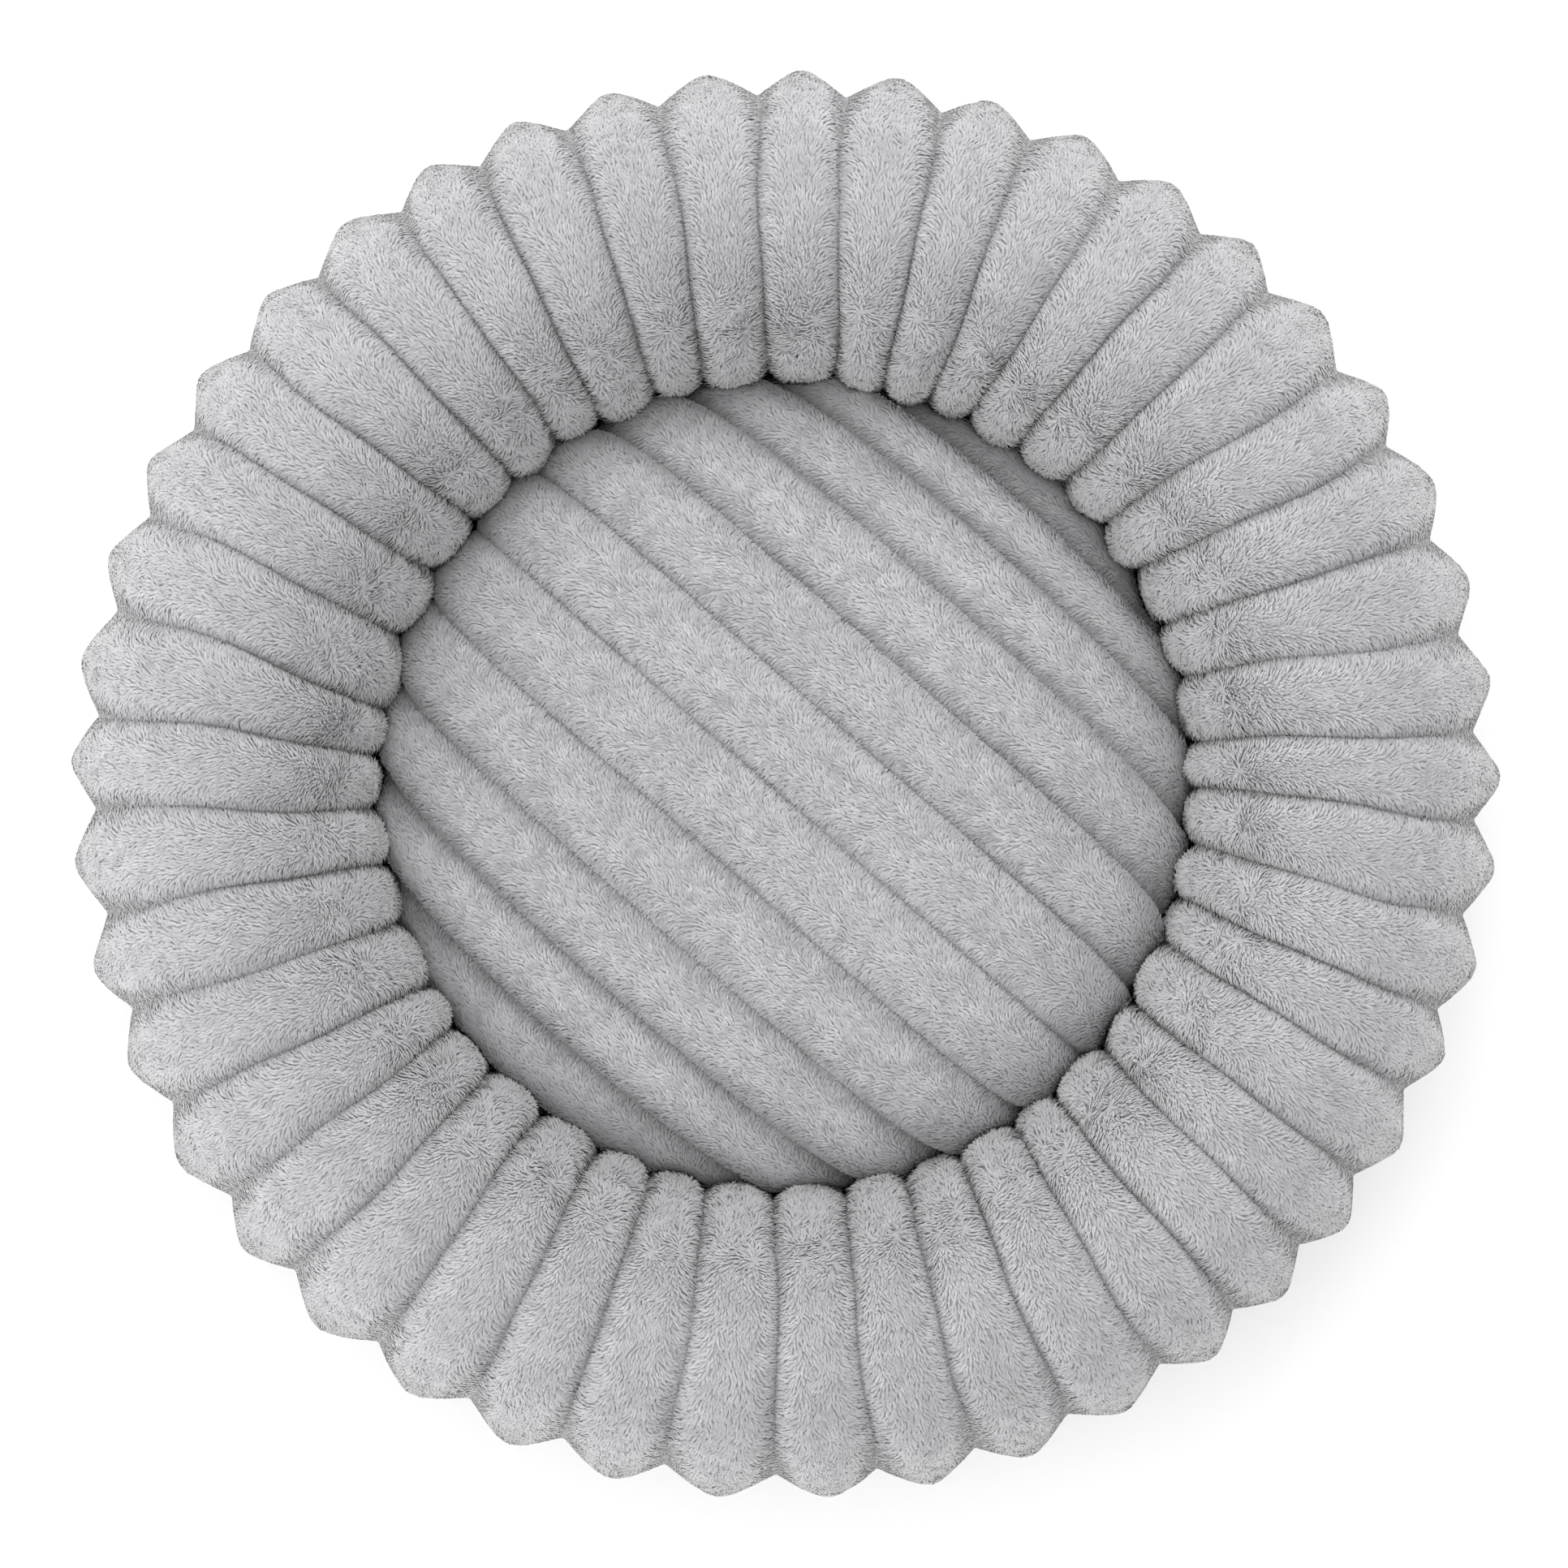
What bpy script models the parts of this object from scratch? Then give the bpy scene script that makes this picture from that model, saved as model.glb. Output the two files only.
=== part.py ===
"""Round pet bed: a channel-quilted plush bolster on a padded base, with a loose zipped cushion in its well.

Metres, +Z up, origin on the floor under the middle of the bed. Every fabric piece is its own solid,
a hair clear of the next one, in the order in which the bed is sewn: base, bolster, cushion, zip.
"""
import math

import bmesh
import bpy
from mathutils import Vector

# Driving dimensions, in metres.
OUTER_RADIUS = 0.300          # of the bolster, at the crest of a channel
WELL_RADIUS = 0.166           # of the well, at its narrowest
BED_HEIGHT = 0.180
WIDEST_HEIGHT = 0.086         # of the bolster's widest and narrowest circles above the floor
CHANNELS = 44                 # sewn channels round the bolster
CHANNEL_DEPTH = 0.009         # from crest to seam
GAP = 0.0003                  # left between neighbouring pieces
SLACK = 0.0018                # between curved layers, whose facets differ
PLUSH = 0.0030                # plush fabric with its pile pressed
CLOTH = 0.0012                # lining, gusset and panel cloth
WADDING = 0.0080

CUSHION_RADIUS = 0.163
CUSHION_CROWN = 0.125         # top of the cushion above the floor
CUSHION_WIDEST_HEIGHT = 0.045
CUSHION_SEAM_RADIUS = 0.150

ZIP_HEIGHT = 0.0225           # of the zip's centre line above the floor
BAND_HEIGHT = 0.0120          # gusset and zip together, between the cushion's two panels
ZIP_START = math.radians(82)
ZIP_SWEEP = math.radians(106)
SLIDER_REST = math.radians(87)

# Heights that follow from the layers of the base.
BASE_TOP = CLOTH
WADDING_BOTTOM = BASE_TOP + GAP
WADDING_TOP = WADDING_BOTTOM + WADDING
LINING_BOTTOM = WADDING_TOP + GAP
LINING_TOP = LINING_BOTTOM + CLOTH
BOLSTER_BOTTOM = LINING_TOP + GAP
CUSHION_BOTTOM = LINING_TOP + GAP

TUBE_RADIUS = (OUTER_RADIUS - WELL_RADIUS) / 2
TUBE_CENTRE = (OUTER_RADIUS + WELL_RADIUS) / 2
TUBE_RISE = BED_HEIGHT - WIDEST_HEIGHT
SEWN_ANGLE = math.radians(60)           # how far below the widest circle the bolster meets the base
TUBE_DROP = (WIDEST_HEIGHT - BOLSTER_BOTTOM) / math.sin(SEWN_ANGLE)
HEM_RADIUS = TUBE_CENTRE + TUBE_RADIUS * math.cos(SEWN_ANGLE)
BASE_RADIUS = HEM_RADIUS

BAND_BOTTOM = ZIP_HEIGHT - BAND_HEIGHT / 2
BAND_TOP = ZIP_HEIGHT + BAND_HEIGHT / 2


def empty_collection(name):
    collection = bpy.data.collections.new(name)
    bpy.context.scene.collection.children.link(collection)
    return collection


def material(name, colour, roughness, metallic=0.0):
    made = bpy.data.materials.new(name)
    made.use_nodes = True
    made.diffuse_color = (*colour, 1.0)
    shader = made.node_tree.nodes["Principled BSDF"]
    shader.inputs["Base Color"].default_value = (*colour, 1.0)
    shader.inputs["Roughness"].default_value = roughness
    shader.inputs["Metallic"].default_value = metallic
    return made


def place(name, mesh, finish, parent=None):
    """Link a mesh to the bed as the sub-part of this name."""
    made = bpy.data.objects.new(name, mesh)
    mesh.materials.clear()
    mesh.materials.append(finish)
    bed.objects.link(made)
    made.parent = parent
    return made


def from_bmesh(bm, name):
    bmesh.ops.recalc_face_normals(bm, faces=bm.faces)
    mesh = bpy.data.meshes.new(name)
    bm.to_mesh(mesh)
    bm.free()
    return mesh


def pivot(name, parent=None, location=(0.0, 0.0, 0.0), turn=0.0):
    """An empty on a joint's axis, which carries a moving piece."""
    made = bpy.data.objects.new(name, None)
    made.empty_display_size = 0.02
    made.location = location
    made.rotation_euler = (0.0, 0.0, turn)
    made.parent = parent
    bed.objects.link(made)
    return made


def thicken(piece, thickness):
    """Give an open skin its cloth thickness, inwards."""
    solid = piece.modifiers.new("Cloth thickness", "SOLIDIFY")
    solid.thickness = thickness
    solid.offset = -1.0
    solid.use_even_offset = True
    return piece


def turn(piece, steps):
    """Turn a profile round the bed's axis."""
    screw = piece.modifiers.new("Turned", "SCREW")
    screw.axis = "Z"
    screw.steps = steps
    screw.render_steps = steps
    screw.use_merge_vertices = True
    screw.merge_threshold = 0.0001
    screw.use_smooth_shade = True
    return piece


def profile_mesh(name, points, closed):
    """Edges through (radius, height) points, for turning."""
    edges = [(i, i + 1) for i in range(len(points) - 1)]
    if closed:
        edges.append((len(points) - 1, 0))
    mesh = bpy.data.meshes.new(name)
    mesh.from_pydata([(radius, 0.0, height) for radius, height in points], edges, [])
    return mesh


def disc(name, radius, bottom, top, finish, parent=None):
    """A round panel cut from flat cloth or wadding."""
    bm = bmesh.new()
    bmesh.ops.create_cone(bm, cap_ends=True, segments=64, radius1=radius, radius2=radius, depth=top - bottom)
    bmesh.ops.translate(bm, verts=bm.verts, vec=(0.0, 0.0, (top + bottom) / 2))
    return place(name, from_bmesh(bm, name), finish, parent)


def strip(name, inner, outer, bottom, top, start, sweep, steps, finish, parent):
    """A length of tape bent round the cushion's axis, square in section."""
    section = ((inner, bottom), (outer, bottom), (outer, top), (inner, top))
    return bent(name, section, start, sweep, steps, finish, parent)


def bent(name, section, start, sweep, steps, finish, parent):
    """Spin a closed (radius, height) section through part of a turn."""
    bm = bmesh.new()
    corners = [bm.verts.new((r * math.cos(start), r * math.sin(start), z)) for r, z in section]
    face = bm.faces.new(corners)
    bmesh.ops.spin(
        bm,
        geom=[face, *face.edges, *face.verts],
        cent=(0.0, 0.0, 0.0),
        axis=(0.0, 0.0, 1.0),
        angle=sweep,
        steps=steps,
    )
    return place(name, from_bmesh(bm, name), finish, parent)


def oval(lean, half_width, tall, inset):
    """(out, up) from an oval's middle, at this lean above the level, inset square to the surface."""
    across, up = math.cos(lean), math.sin(lean)
    outwards = Vector((across / half_width, up / tall)).normalized()
    return across * half_width - inset * outwards.x, up * tall - inset * outwards.y


def bolster_skin(name, inset, around, lobed, finish):
    """The bolster's skin: a torus drawn tall and oval in section.

    inset is how far inside the outermost skin it lies. A lobed skin has two columns of faces for each
    channel, from crest to seam and back, and its seams fade out towards the foot.
    """
    bpy.ops.mesh.primitive_torus_add(
        major_segments=around, minor_segments=16, major_radius=2.0, minor_radius=1.0
    )
    skin = bpy.context.object
    half_channel = math.pi / CHANNELS
    sewn = math.sin(SEWN_ANGLE)
    for vert in skin.data.vertices:
        round_angle = math.atan2(vert.co.y, vert.co.x)
        side = math.hypot(vert.co.x, vert.co.y) - 2.0
        rise = vert.co.z
        seam = round(round_angle / half_channel) % 2 if lobed else 0
        fade = min(1.0, max(0.0, (rise + sewn) * 2))
        sunk = inset + seam * CHANNEL_DEPTH * fade
        tall = TUBE_RISE if rise > 0 else TUBE_DROP
        out, up = oval(math.atan2(rise, side), TUBE_RADIUS, tall, sunk)
        radius = TUBE_CENTRE + out
        height = WIDEST_HEIGHT + up
        if rise < -sewn:
            height = 0.0
        vert.co = (radius * math.cos(round_angle), radius * math.sin(round_angle), height)
    mesh = skin.data
    bpy.data.objects.remove(skin)
    return place(name, mesh, finish)


def cut_foot(skin, closed=False):
    """Cut the skin off flat where it is sewn to the base, and leave it open or close it there."""
    bm = bmesh.new()
    bm.from_mesh(skin.data)
    bmesh.ops.bisect_plane(
        bm,
        geom=[*bm.verts, *bm.edges, *bm.faces],
        plane_co=(0.0, 0.0, BOLSTER_BOTTOM),
        plane_no=(0.0, 0.0, 1.0),
        clear_inner=True,
    )
    if closed:
        bmesh.ops.bridge_loops(bm, edges=[edge for edge in bm.edges if edge.is_boundary])
        bmesh.ops.recalc_face_normals(bm, faces=bm.faces)
    bm.to_mesh(skin.data)
    bm.free()
    return skin


def make_base():
    """Non-slip sheet, wadding and lining laid together, and the tape that binds their edge."""
    disc("base_sheet", BASE_RADIUS, 0.0, BASE_TOP, nonslip)
    disc("base_wadding", BASE_RADIUS - 0.003, WADDING_BOTTOM, WADDING_TOP, fibre)
    disc("floor_lining", BASE_RADIUS, LINING_BOTTOM, LINING_TOP, lining)
    inner = BASE_RADIUS + GAP
    outer = inner + CLOTH
    low, high = GAP, BOLSTER_BOTTOM - GAP
    section = [(outer, high), (outer, low), (inner, low), (inner, high)]
    turn(place("base_binding", profile_mesh("base_binding", section, closed=True), binding_tape), 64)


def make_label():
    """A blank folded care label caught in the binding seam, lying flat under the bolster's overhang."""
    length, width, thickness = 0.018, 0.024, 0.0008
    inner = BASE_RADIUS + 2 * GAP + CLOTH
    bm = bmesh.new()
    bmesh.ops.create_cube(bm, size=1.0)
    bmesh.ops.scale(bm, verts=bm.verts, vec=(length, width, thickness))
    bmesh.ops.translate(bm, verts=bm.verts, vec=(inner + length / 2, 0.0, 0.0014))
    label = place("care_label", from_bmesh(bm, "care_label"), label_cloth)
    label.rotation_euler = (0.0, 0.0, math.radians(252))


def make_bolster():
    """Plush shell sewn into channels, the lining it is quilted to, and the ring of fibre inside."""
    cover = bolster_skin("bolster_cover", 0.0, 2 * CHANNELS, True, plush)
    thicken(cut_foot(cover), PLUSH)
    lining_inset = CHANNEL_DEPTH + PLUSH + SLACK
    inner = bolster_skin("bolster_lining", lining_inset, CHANNELS, False, lining)
    thicken(cut_foot(inner), CLOTH)
    fill = bolster_skin("bolster_filling", lining_inset + CLOTH + SLACK, CHANNELS, False, fibre)
    cut_foot(fill, closed=True)


DOME_STEPS = 7                # facets from the cushion's middle to its widest circle
HEM_LEAN = math.acos(CUSHION_SEAM_RADIUS / CUSHION_RADIUS)
DOME_RISE = CUSHION_CROWN - CUSHION_WIDEST_HEIGHT
DOME_DROP = (CUSHION_WIDEST_HEIGHT - BAND_TOP - GAP) / math.sin(HEM_LEAN)


def dome_profile(inset):
    """The cushion's top in section, from the middle out over the widest circle and in under it."""
    leans = [math.pi / 2 * (1 - step / DOME_STEPS) for step in range(DOME_STEPS + 1)]
    leans += [-HEM_LEAN / 2, -HEM_LEAN]
    path = []
    for lean in leans:
        tall = DOME_RISE if lean > 0 else DOME_DROP
        out, up = oval(lean, CUSHION_RADIUS, tall, inset)
        path.append((out, CUSHION_WIDEST_HEIGHT + up))
    path[0] = (0.0, path[0][1])
    return path


def turned_skin(name, profile, thickness, finish, parent):
    """A turned skin with its cloth thickness inwards."""
    piece = turn(place(name, profile_mesh(name, profile, closed=False), finish, parent), 40)
    return thicken(piece, thickness)


def make_cushion(parent):
    """Plush top quilted to a lining, plain bottom panel, the gusset between them, and the fibre inside."""
    hem = BAND_TOP + GAP
    turned_skin("cushion_top_cover", dome_profile(0.0), PLUSH, plush, parent)
    lining_inset = PLUSH + SLACK / 2
    lining_path = dome_profile(lining_inset)
    lining_path.append((lining_path[-1][0] - GAP, hem))
    turned_skin("cushion_top_lining", lining_path, CLOTH, lining, parent)
    lip = BAND_BOTTOM - GAP
    corner = CUSHION_SEAM_RADIUS - 0.006
    bottom = [
        (CUSHION_SEAM_RADIUS, lip),
        (CUSHION_SEAM_RADIUS, lip - 0.001),
        (CUSHION_SEAM_RADIUS - 0.0015, CUSHION_BOTTOM + 0.0015),
        (corner, CUSHION_BOTTOM),
        (0.0, CUSHION_BOTTOM),
    ]
    turned_skin("cushion_bottom_panel", bottom, CLOTH, panel_cloth, parent)
    gusset_start = ZIP_START + ZIP_SWEEP + math.radians(0.4)
    gusset_sweep = 2 * math.pi - ZIP_SWEEP - math.radians(0.8)
    strip(
        "cushion_gusset",
        CUSHION_SEAM_RADIUS - CLOTH,
        CUSHION_SEAM_RADIUS,
        BAND_BOTTOM,
        BAND_TOP,
        gusset_start,
        gusset_sweep,
        32,
        panel_cloth,
        parent,
    )
    make_cushion_filling(parent, lining_inset + CLOTH + SLACK)


def make_cushion_filling(parent, inset):
    """The fibre, drawn in behind the gusset and zip."""
    outline = dome_profile(inset)
    floor_height = CUSHION_BOTTOM + CLOTH + 2 * GAP
    waist = CUSHION_SEAM_RADIUS - inset - 0.002
    outline += [
        (waist, BAND_TOP),
        (waist, floor_height + 0.002),
        (waist - 0.004, floor_height),
        (0.0, floor_height),
    ]
    piece = place("cushion_filling", profile_mesh("cushion_filling", outline, closed=False), fibre, parent)
    turn(piece, 40)


# The zip, round the radius at which its tapes lie.
COIL_INNER = CUSHION_SEAM_RADIUS - 0.0008
COIL_OUTER = CUSHION_SEAM_RADIUS + 0.0009
PLATE = 0.0010                # slider plates
PLATE_HALF = 0.0045           # half the slider's width across the tape
SLIDER_LENGTH = 0.0120
PARTING = 0.0006              # half the slit between the coils, where the slider's web runs


def make_zip(parent):
    """Two tapes, two coils and two end stops, fixed round the cushion."""
    tape_inner, tape_outer = CUSHION_SEAM_RADIUS - 0.0003, CUSHION_SEAM_RADIUS + 0.0004
    tape_edge, coil_edge = 0.0030, 0.0027
    margin = math.radians(2.0)
    for name, side in (("upper", 1), ("lower", -1)):
        low, high = sorted((ZIP_HEIGHT + side * tape_edge, ZIP_HEIGHT + side * BAND_HEIGHT / 2))
        strip(
            f"zip_tape_{name}",
            tape_inner,
            tape_outer,
            low,
            high,
            ZIP_START,
            ZIP_SWEEP,
            24,
            tape_cloth,
            parent,
        )
        low, high = sorted((ZIP_HEIGHT + side * PARTING, ZIP_HEIGHT + side * coil_edge))
        strip(
            f"zip_coil_{name}",
            COIL_INNER,
            COIL_OUTER,
            low,
            high,
            ZIP_START + margin,
            ZIP_SWEEP - 2 * margin,
            24,
            nylon,
            parent,
        )
    for name, start in (("closed", ZIP_START), ("open", ZIP_START + ZIP_SWEEP - math.radians(1.6))):
        strip(
            f"zip_stop_{name}",
            COIL_INNER,
            COIL_OUTER,
            ZIP_HEIGHT - coil_edge,
            ZIP_HEIGHT + coil_edge,
            start,
            math.radians(1.6),
            2,
            zip_metal,
            parent,
        )


def make_slider(parent):
    """Two plates joined by a web that runs in the slit between the coils, with a loop for the puller."""
    front_inner = COIL_OUTER + GAP
    back_outer = COIL_INNER - GAP
    web = PARTING - GAP
    section = [
        (front_inner + PLATE, -PLATE_HALF),
        (front_inner + PLATE, PLATE_HALF),
        (front_inner, PLATE_HALF),
        (front_inner, web),
        (back_outer, web),
        (back_outer, PLATE_HALF),
        (back_outer - PLATE, PLATE_HALF),
        (back_outer - PLATE, -PLATE_HALF),
        (back_outer, -PLATE_HALF),
        (back_outer, -web),
        (front_inner, -web),
        (front_inner, -PLATE_HALF),
    ]
    section = [(radius, ZIP_HEIGHT + height) for radius, height in section]
    sweep = SLIDER_LENGTH / CUSHION_SEAM_RADIUS
    slider = bent("zip_slider", section, -sweep / 2, sweep, 4, zip_metal, parent)
    loop = slider_loop(front_inner + PLATE, parent)
    join = slider.modifiers.new("Puller loop", "BOOLEAN")
    join.operation = "UNION"
    join.object = loop


LOOP_REACH = 0.0024           # half the loop's length along the zip
LOOP_RISE = 0.0034            # of the loop's middle line above the front plate
LOOP_WIRE = 0.0005


def slider_loop(plate_face, parent):
    """The arched loop on the slider's front plate, as a mesh for joining."""
    curve = bpy.data.curves.new("slider_loop", "CURVE")
    curve.dimensions = "3D"
    curve.bevel_depth = LOOP_WIRE
    curve.bevel_resolution = 1
    curve.use_fill_caps = True
    spline = curve.splines.new("POLY")
    steps = 8
    spline.points.add(steps)
    for step in range(steps + 1):
        lean = math.pi * step / steps
        out = plate_face - LOOP_WIRE + (LOOP_RISE + LOOP_WIRE) * math.sin(lean)
        spline.points[step].co = (out, LOOP_REACH * math.cos(lean), ZIP_HEIGHT, 1.0)
    drawn = bpy.data.objects.new("slider_loop_curve", curve)
    joins.objects.link(drawn)
    bpy.context.view_layer.update()
    evaluated = drawn.evaluated_get(bpy.context.evaluated_depsgraph_get())
    mesh = bpy.data.meshes.new_from_object(evaluated)
    bm = bmesh.new()
    bm.from_mesh(mesh)
    bmesh.ops.remove_doubles(bm, verts=bm.verts, dist=0.00001)
    bmesh.ops.recalc_face_normals(bm, faces=bm.faces)
    bm.to_mesh(mesh)
    bm.free()
    loop = bpy.data.objects.new("slider_loop", mesh)
    joins.objects.link(loop)
    loop.parent = parent
    loop.hide_render = True
    loop.display_type = "WIRE"
    bpy.data.objects.remove(drawn)
    return loop


PULLER_RADIUS = COIL_OUTER + GAP + PLATE + 0.0012     # of the puller's hinge from the cushion's axis
PULLER_LENGTH = 0.022
PULLER_HALF_WIDTH = 0.0032
PULLER_BAR = 0.0012           # the end bar that the slider's loop holds
PULLER_WINDOW = 0.0042        # length of the window next to the bar
PULLER_THICKNESS = 0.0010


def make_puller(parent):
    """A flat tab with a window at its held end, drawn in outline and lying along the zip."""
    curve = bpy.data.curves.new("zip_puller", "CURVE")
    curve.dimensions = "2D"
    curve.fill_mode = "BOTH"
    curve.extrude = PULLER_THICKNESS / 2
    start = -PULLER_BAR / 2
    outline(curve, start, start + PULLER_LENGTH, PULLER_HALF_WIDTH, 0.0016)
    window = PULLER_BAR / 2
    outline(curve, window, window + PULLER_WINDOW, PULLER_HALF_WIDTH - 0.0013, 0.0004)
    tab = bpy.data.objects.new("zip_puller", curve)
    curve.materials.append(zip_metal)
    bed.objects.link(tab)
    tab.parent = parent
    tab.rotation_euler = (math.pi / 2, 0.0, math.pi / 2)


def outline(curve, start, end, half_width, corner):
    """A rounded rectangle along the curve's X axis."""
    spline = curve.splines.new("POLY")
    centres = (
        (end - corner, half_width - corner, 0),
        (start + corner, half_width - corner, 90),
        (start + corner, corner - half_width, 180),
        (end - corner, corner - half_width, 270),
    )
    steps = 3
    points = []
    for x, y, first in centres:
        for step in range(steps + 1):
            lean = math.radians(first + 90 * step / steps)
            points.append((x + corner * math.cos(lean), y + corner * math.sin(lean)))
    spline.points.add(len(points) - 1)
    for point, (x, y) in zip(spline.points, points):
        point.co = (x, y, 0.0, 1.0)
    spline.use_cyclic_u = True


for left_over in list(bpy.data.objects):
    bpy.data.objects.remove(left_over)

bed = empty_collection("pet_cushion_bed")
joins = empty_collection("joined_shapes")

plush = material("plush", (0.43, 0.42, 0.43), 0.95)
lining = material("lining", (0.55, 0.55, 0.56), 0.9)
fibre = material("fibre", (0.88, 0.88, 0.87), 1.0)
nonslip = material("nonslip_base", (0.16, 0.16, 0.17), 0.8)
binding_tape = material("binding", (0.30, 0.30, 0.31), 0.85)
label_cloth = material("label", (0.85, 0.85, 0.84), 0.8)
panel_cloth = material("panel_cloth", (0.42, 0.42, 0.43), 0.9)
tape_cloth = material("zip_tape", (0.36, 0.36, 0.37), 0.85)
nylon = material("zip_nylon", (0.33, 0.33, 0.34), 0.5)
zip_metal = material("zip_metal", (0.50, 0.50, 0.52), 0.35, metallic=1.0)

make_base()
make_label()
make_bolster()

cushion = pivot("cushion_axis")
make_cushion(cushion)
make_zip(cushion)
slider_axis = pivot("slider_axis", parent=cushion, turn=SLIDER_REST)
make_slider(slider_axis)
puller_axis = pivot("puller_axis", parent=slider_axis, location=(PULLER_RADIUS, 0.0, ZIP_HEIGHT))
make_puller(puller_axis)
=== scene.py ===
import math

import bpy
import numpy as np
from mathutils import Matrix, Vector


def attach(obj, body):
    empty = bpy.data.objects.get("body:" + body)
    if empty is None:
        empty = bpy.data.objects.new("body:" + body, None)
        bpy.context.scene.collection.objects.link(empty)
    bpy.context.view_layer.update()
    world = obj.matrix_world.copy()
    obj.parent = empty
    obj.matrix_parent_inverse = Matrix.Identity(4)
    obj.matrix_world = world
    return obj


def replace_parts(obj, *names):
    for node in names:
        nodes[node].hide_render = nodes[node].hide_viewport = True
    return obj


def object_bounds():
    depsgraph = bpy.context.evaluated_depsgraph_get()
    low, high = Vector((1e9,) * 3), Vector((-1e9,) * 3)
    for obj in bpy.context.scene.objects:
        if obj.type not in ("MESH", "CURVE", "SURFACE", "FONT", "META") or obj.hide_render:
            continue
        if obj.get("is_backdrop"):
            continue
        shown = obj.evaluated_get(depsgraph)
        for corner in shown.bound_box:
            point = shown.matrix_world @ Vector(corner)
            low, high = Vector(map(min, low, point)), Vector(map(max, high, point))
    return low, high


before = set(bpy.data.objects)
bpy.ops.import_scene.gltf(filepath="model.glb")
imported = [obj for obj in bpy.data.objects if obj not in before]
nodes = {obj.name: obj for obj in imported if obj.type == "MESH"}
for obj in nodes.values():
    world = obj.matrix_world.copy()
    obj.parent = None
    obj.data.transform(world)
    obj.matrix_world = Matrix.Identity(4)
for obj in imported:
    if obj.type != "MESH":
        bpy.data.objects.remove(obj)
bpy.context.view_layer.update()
bpy.ops.object.select_all(action="DESELECT")
scene = bpy.context.scene


# --------------------------------------------------
# The place: a white paper table between white walls, lit by a large soft window light beyond the
# bed's far side and a weaker one low at its near left, and seen from straight above.

bpy.ops.mesh.primitive_plane_add(size=9.0, location=(0.0, 0.0, -0.0004))
floor = bpy.context.object
floor.name = "studio_floor"
floor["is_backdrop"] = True
white_paper = bpy.data.materials.new("white paper")
white_paper.use_nodes = True
paper_shader = white_paper.node_tree.nodes["Principled BSDF"]
paper_shader.inputs["Base Color"].default_value = (0.96, 0.96, 0.96, 1.0)
paper_shader.inputs["Roughness"].default_value = 0.9
paper_shader.inputs["Emission Color"].default_value = (1.0, 1.0, 1.0, 1.0)
paper_shader.inputs["Emission Strength"].default_value = 0.13
paper_shader.inputs["Specular IOR Level"].default_value = 0.1
floor.data.materials.append(white_paper)

world = bpy.data.worlds.new("studio walls")
scene.world = world
world.use_nodes = True
world.node_tree.nodes["Background"].inputs["Color"].default_value = (1.0, 1.0, 1.0, 1.0)
world.node_tree.nodes["Background"].inputs["Strength"].default_value = 0.97


def softbox(name, place, size, power):
    """A square soft light aimed at the middle of the bed."""
    lamp = bpy.data.lights.new(name, "AREA")
    lamp.shape = "SQUARE"
    lamp.size = size
    lamp.energy = power
    made = bpy.data.objects.new(name, lamp)
    made.location = place
    made.rotation_mode = "QUATERNION"
    made.rotation_quaternion = (Vector(place) - Vector((0.0, 0.0, 0.05))).to_track_quat("Z", "Y")
    made.visible_camera = False
    scene.collection.objects.link(made)


softbox("window light", (0.4, 2.4, 2.3), 1.8, 30.0)
softbox("low fill", (-2.2, -0.9, 1.2), 1.8, 20.0)

LENS = 110.0                    # mm, on a 36 mm wide sensor
FRAME_WIDTH = 0.6557            # metres across the picture, at the bolster's widest height
WIDEST_HEIGHT = 0.086
camera_data = bpy.data.cameras.new("camera")
camera_data.lens = LENS
camera_data.sensor_width = 36.0
camera = bpy.data.objects.new("camera", camera_data)
camera.location = (-0.0005, 0.0003, WIDEST_HEIGHT + FRAME_WIDTH * LENS / 36.0)
scene.collection.objects.link(camera)
scene.camera = camera
scene.view_settings.view_transform = "Standard"


# --------------------------------------------------
# The base: a round of woven polyester with rubber dots on its underside, a sheet of wadding over
# it and the cloth floor of the well, laid together, with a ribbed tape sewn over their edge.

def new_material(name):
    """A node material and its Principled shader."""
    made = bpy.data.materials.new(name)
    made.use_nodes = True
    return made, made.node_tree.nodes["Principled BSDF"]


def node(material, kind, **settings):
    """A node in this material; a setting whose name is an input's goes on that input."""
    made = material.node_tree.nodes.new(kind)
    for key, value in settings.items():
        label = key.replace("_", " ")
        if label in made.inputs:
            made.inputs[label].default_value = value
        else:
            setattr(made, key, value)
    return made


def join(material, source, target):
    material.node_tree.links.new(source, target)


def toned(material, shader, value, dark, light, start=0.0):
    """Colour the shader between two colours by a texture's value."""
    tones = node(material, "ShaderNodeValToRGB")
    tones.color_ramp.elements[0].position = start
    tones.color_ramp.elements[0].color = (*dark, 1.0)
    tones.color_ramp.elements[1].color = (*light, 1.0)
    join(material, value, tones.inputs["Fac"])
    join(material, tones.outputs["Color"], shader.inputs["Base Color"])


def bumped(material, shader, value, strength, distance):
    """Raise the surface by a texture's value."""
    bump = node(material, "ShaderNodeBump", Strength=strength, Distance=distance)
    join(material, value, bump.inputs["Height"])
    join(material, bump.outputs["Normal"], shader.inputs["Normal"])


def noise_in(material, scale, detail, **settings):
    """The value of a noise texture, laid out in the piece's own coordinates."""
    place = node(material, "ShaderNodeTexCoord")
    noise = node(material, "ShaderNodeTexNoise", Scale=scale, Detail=detail, **settings)
    join(material, place.outputs["Object"], noise.inputs["Vector"])
    return noise.outputs["Fac"]


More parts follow.
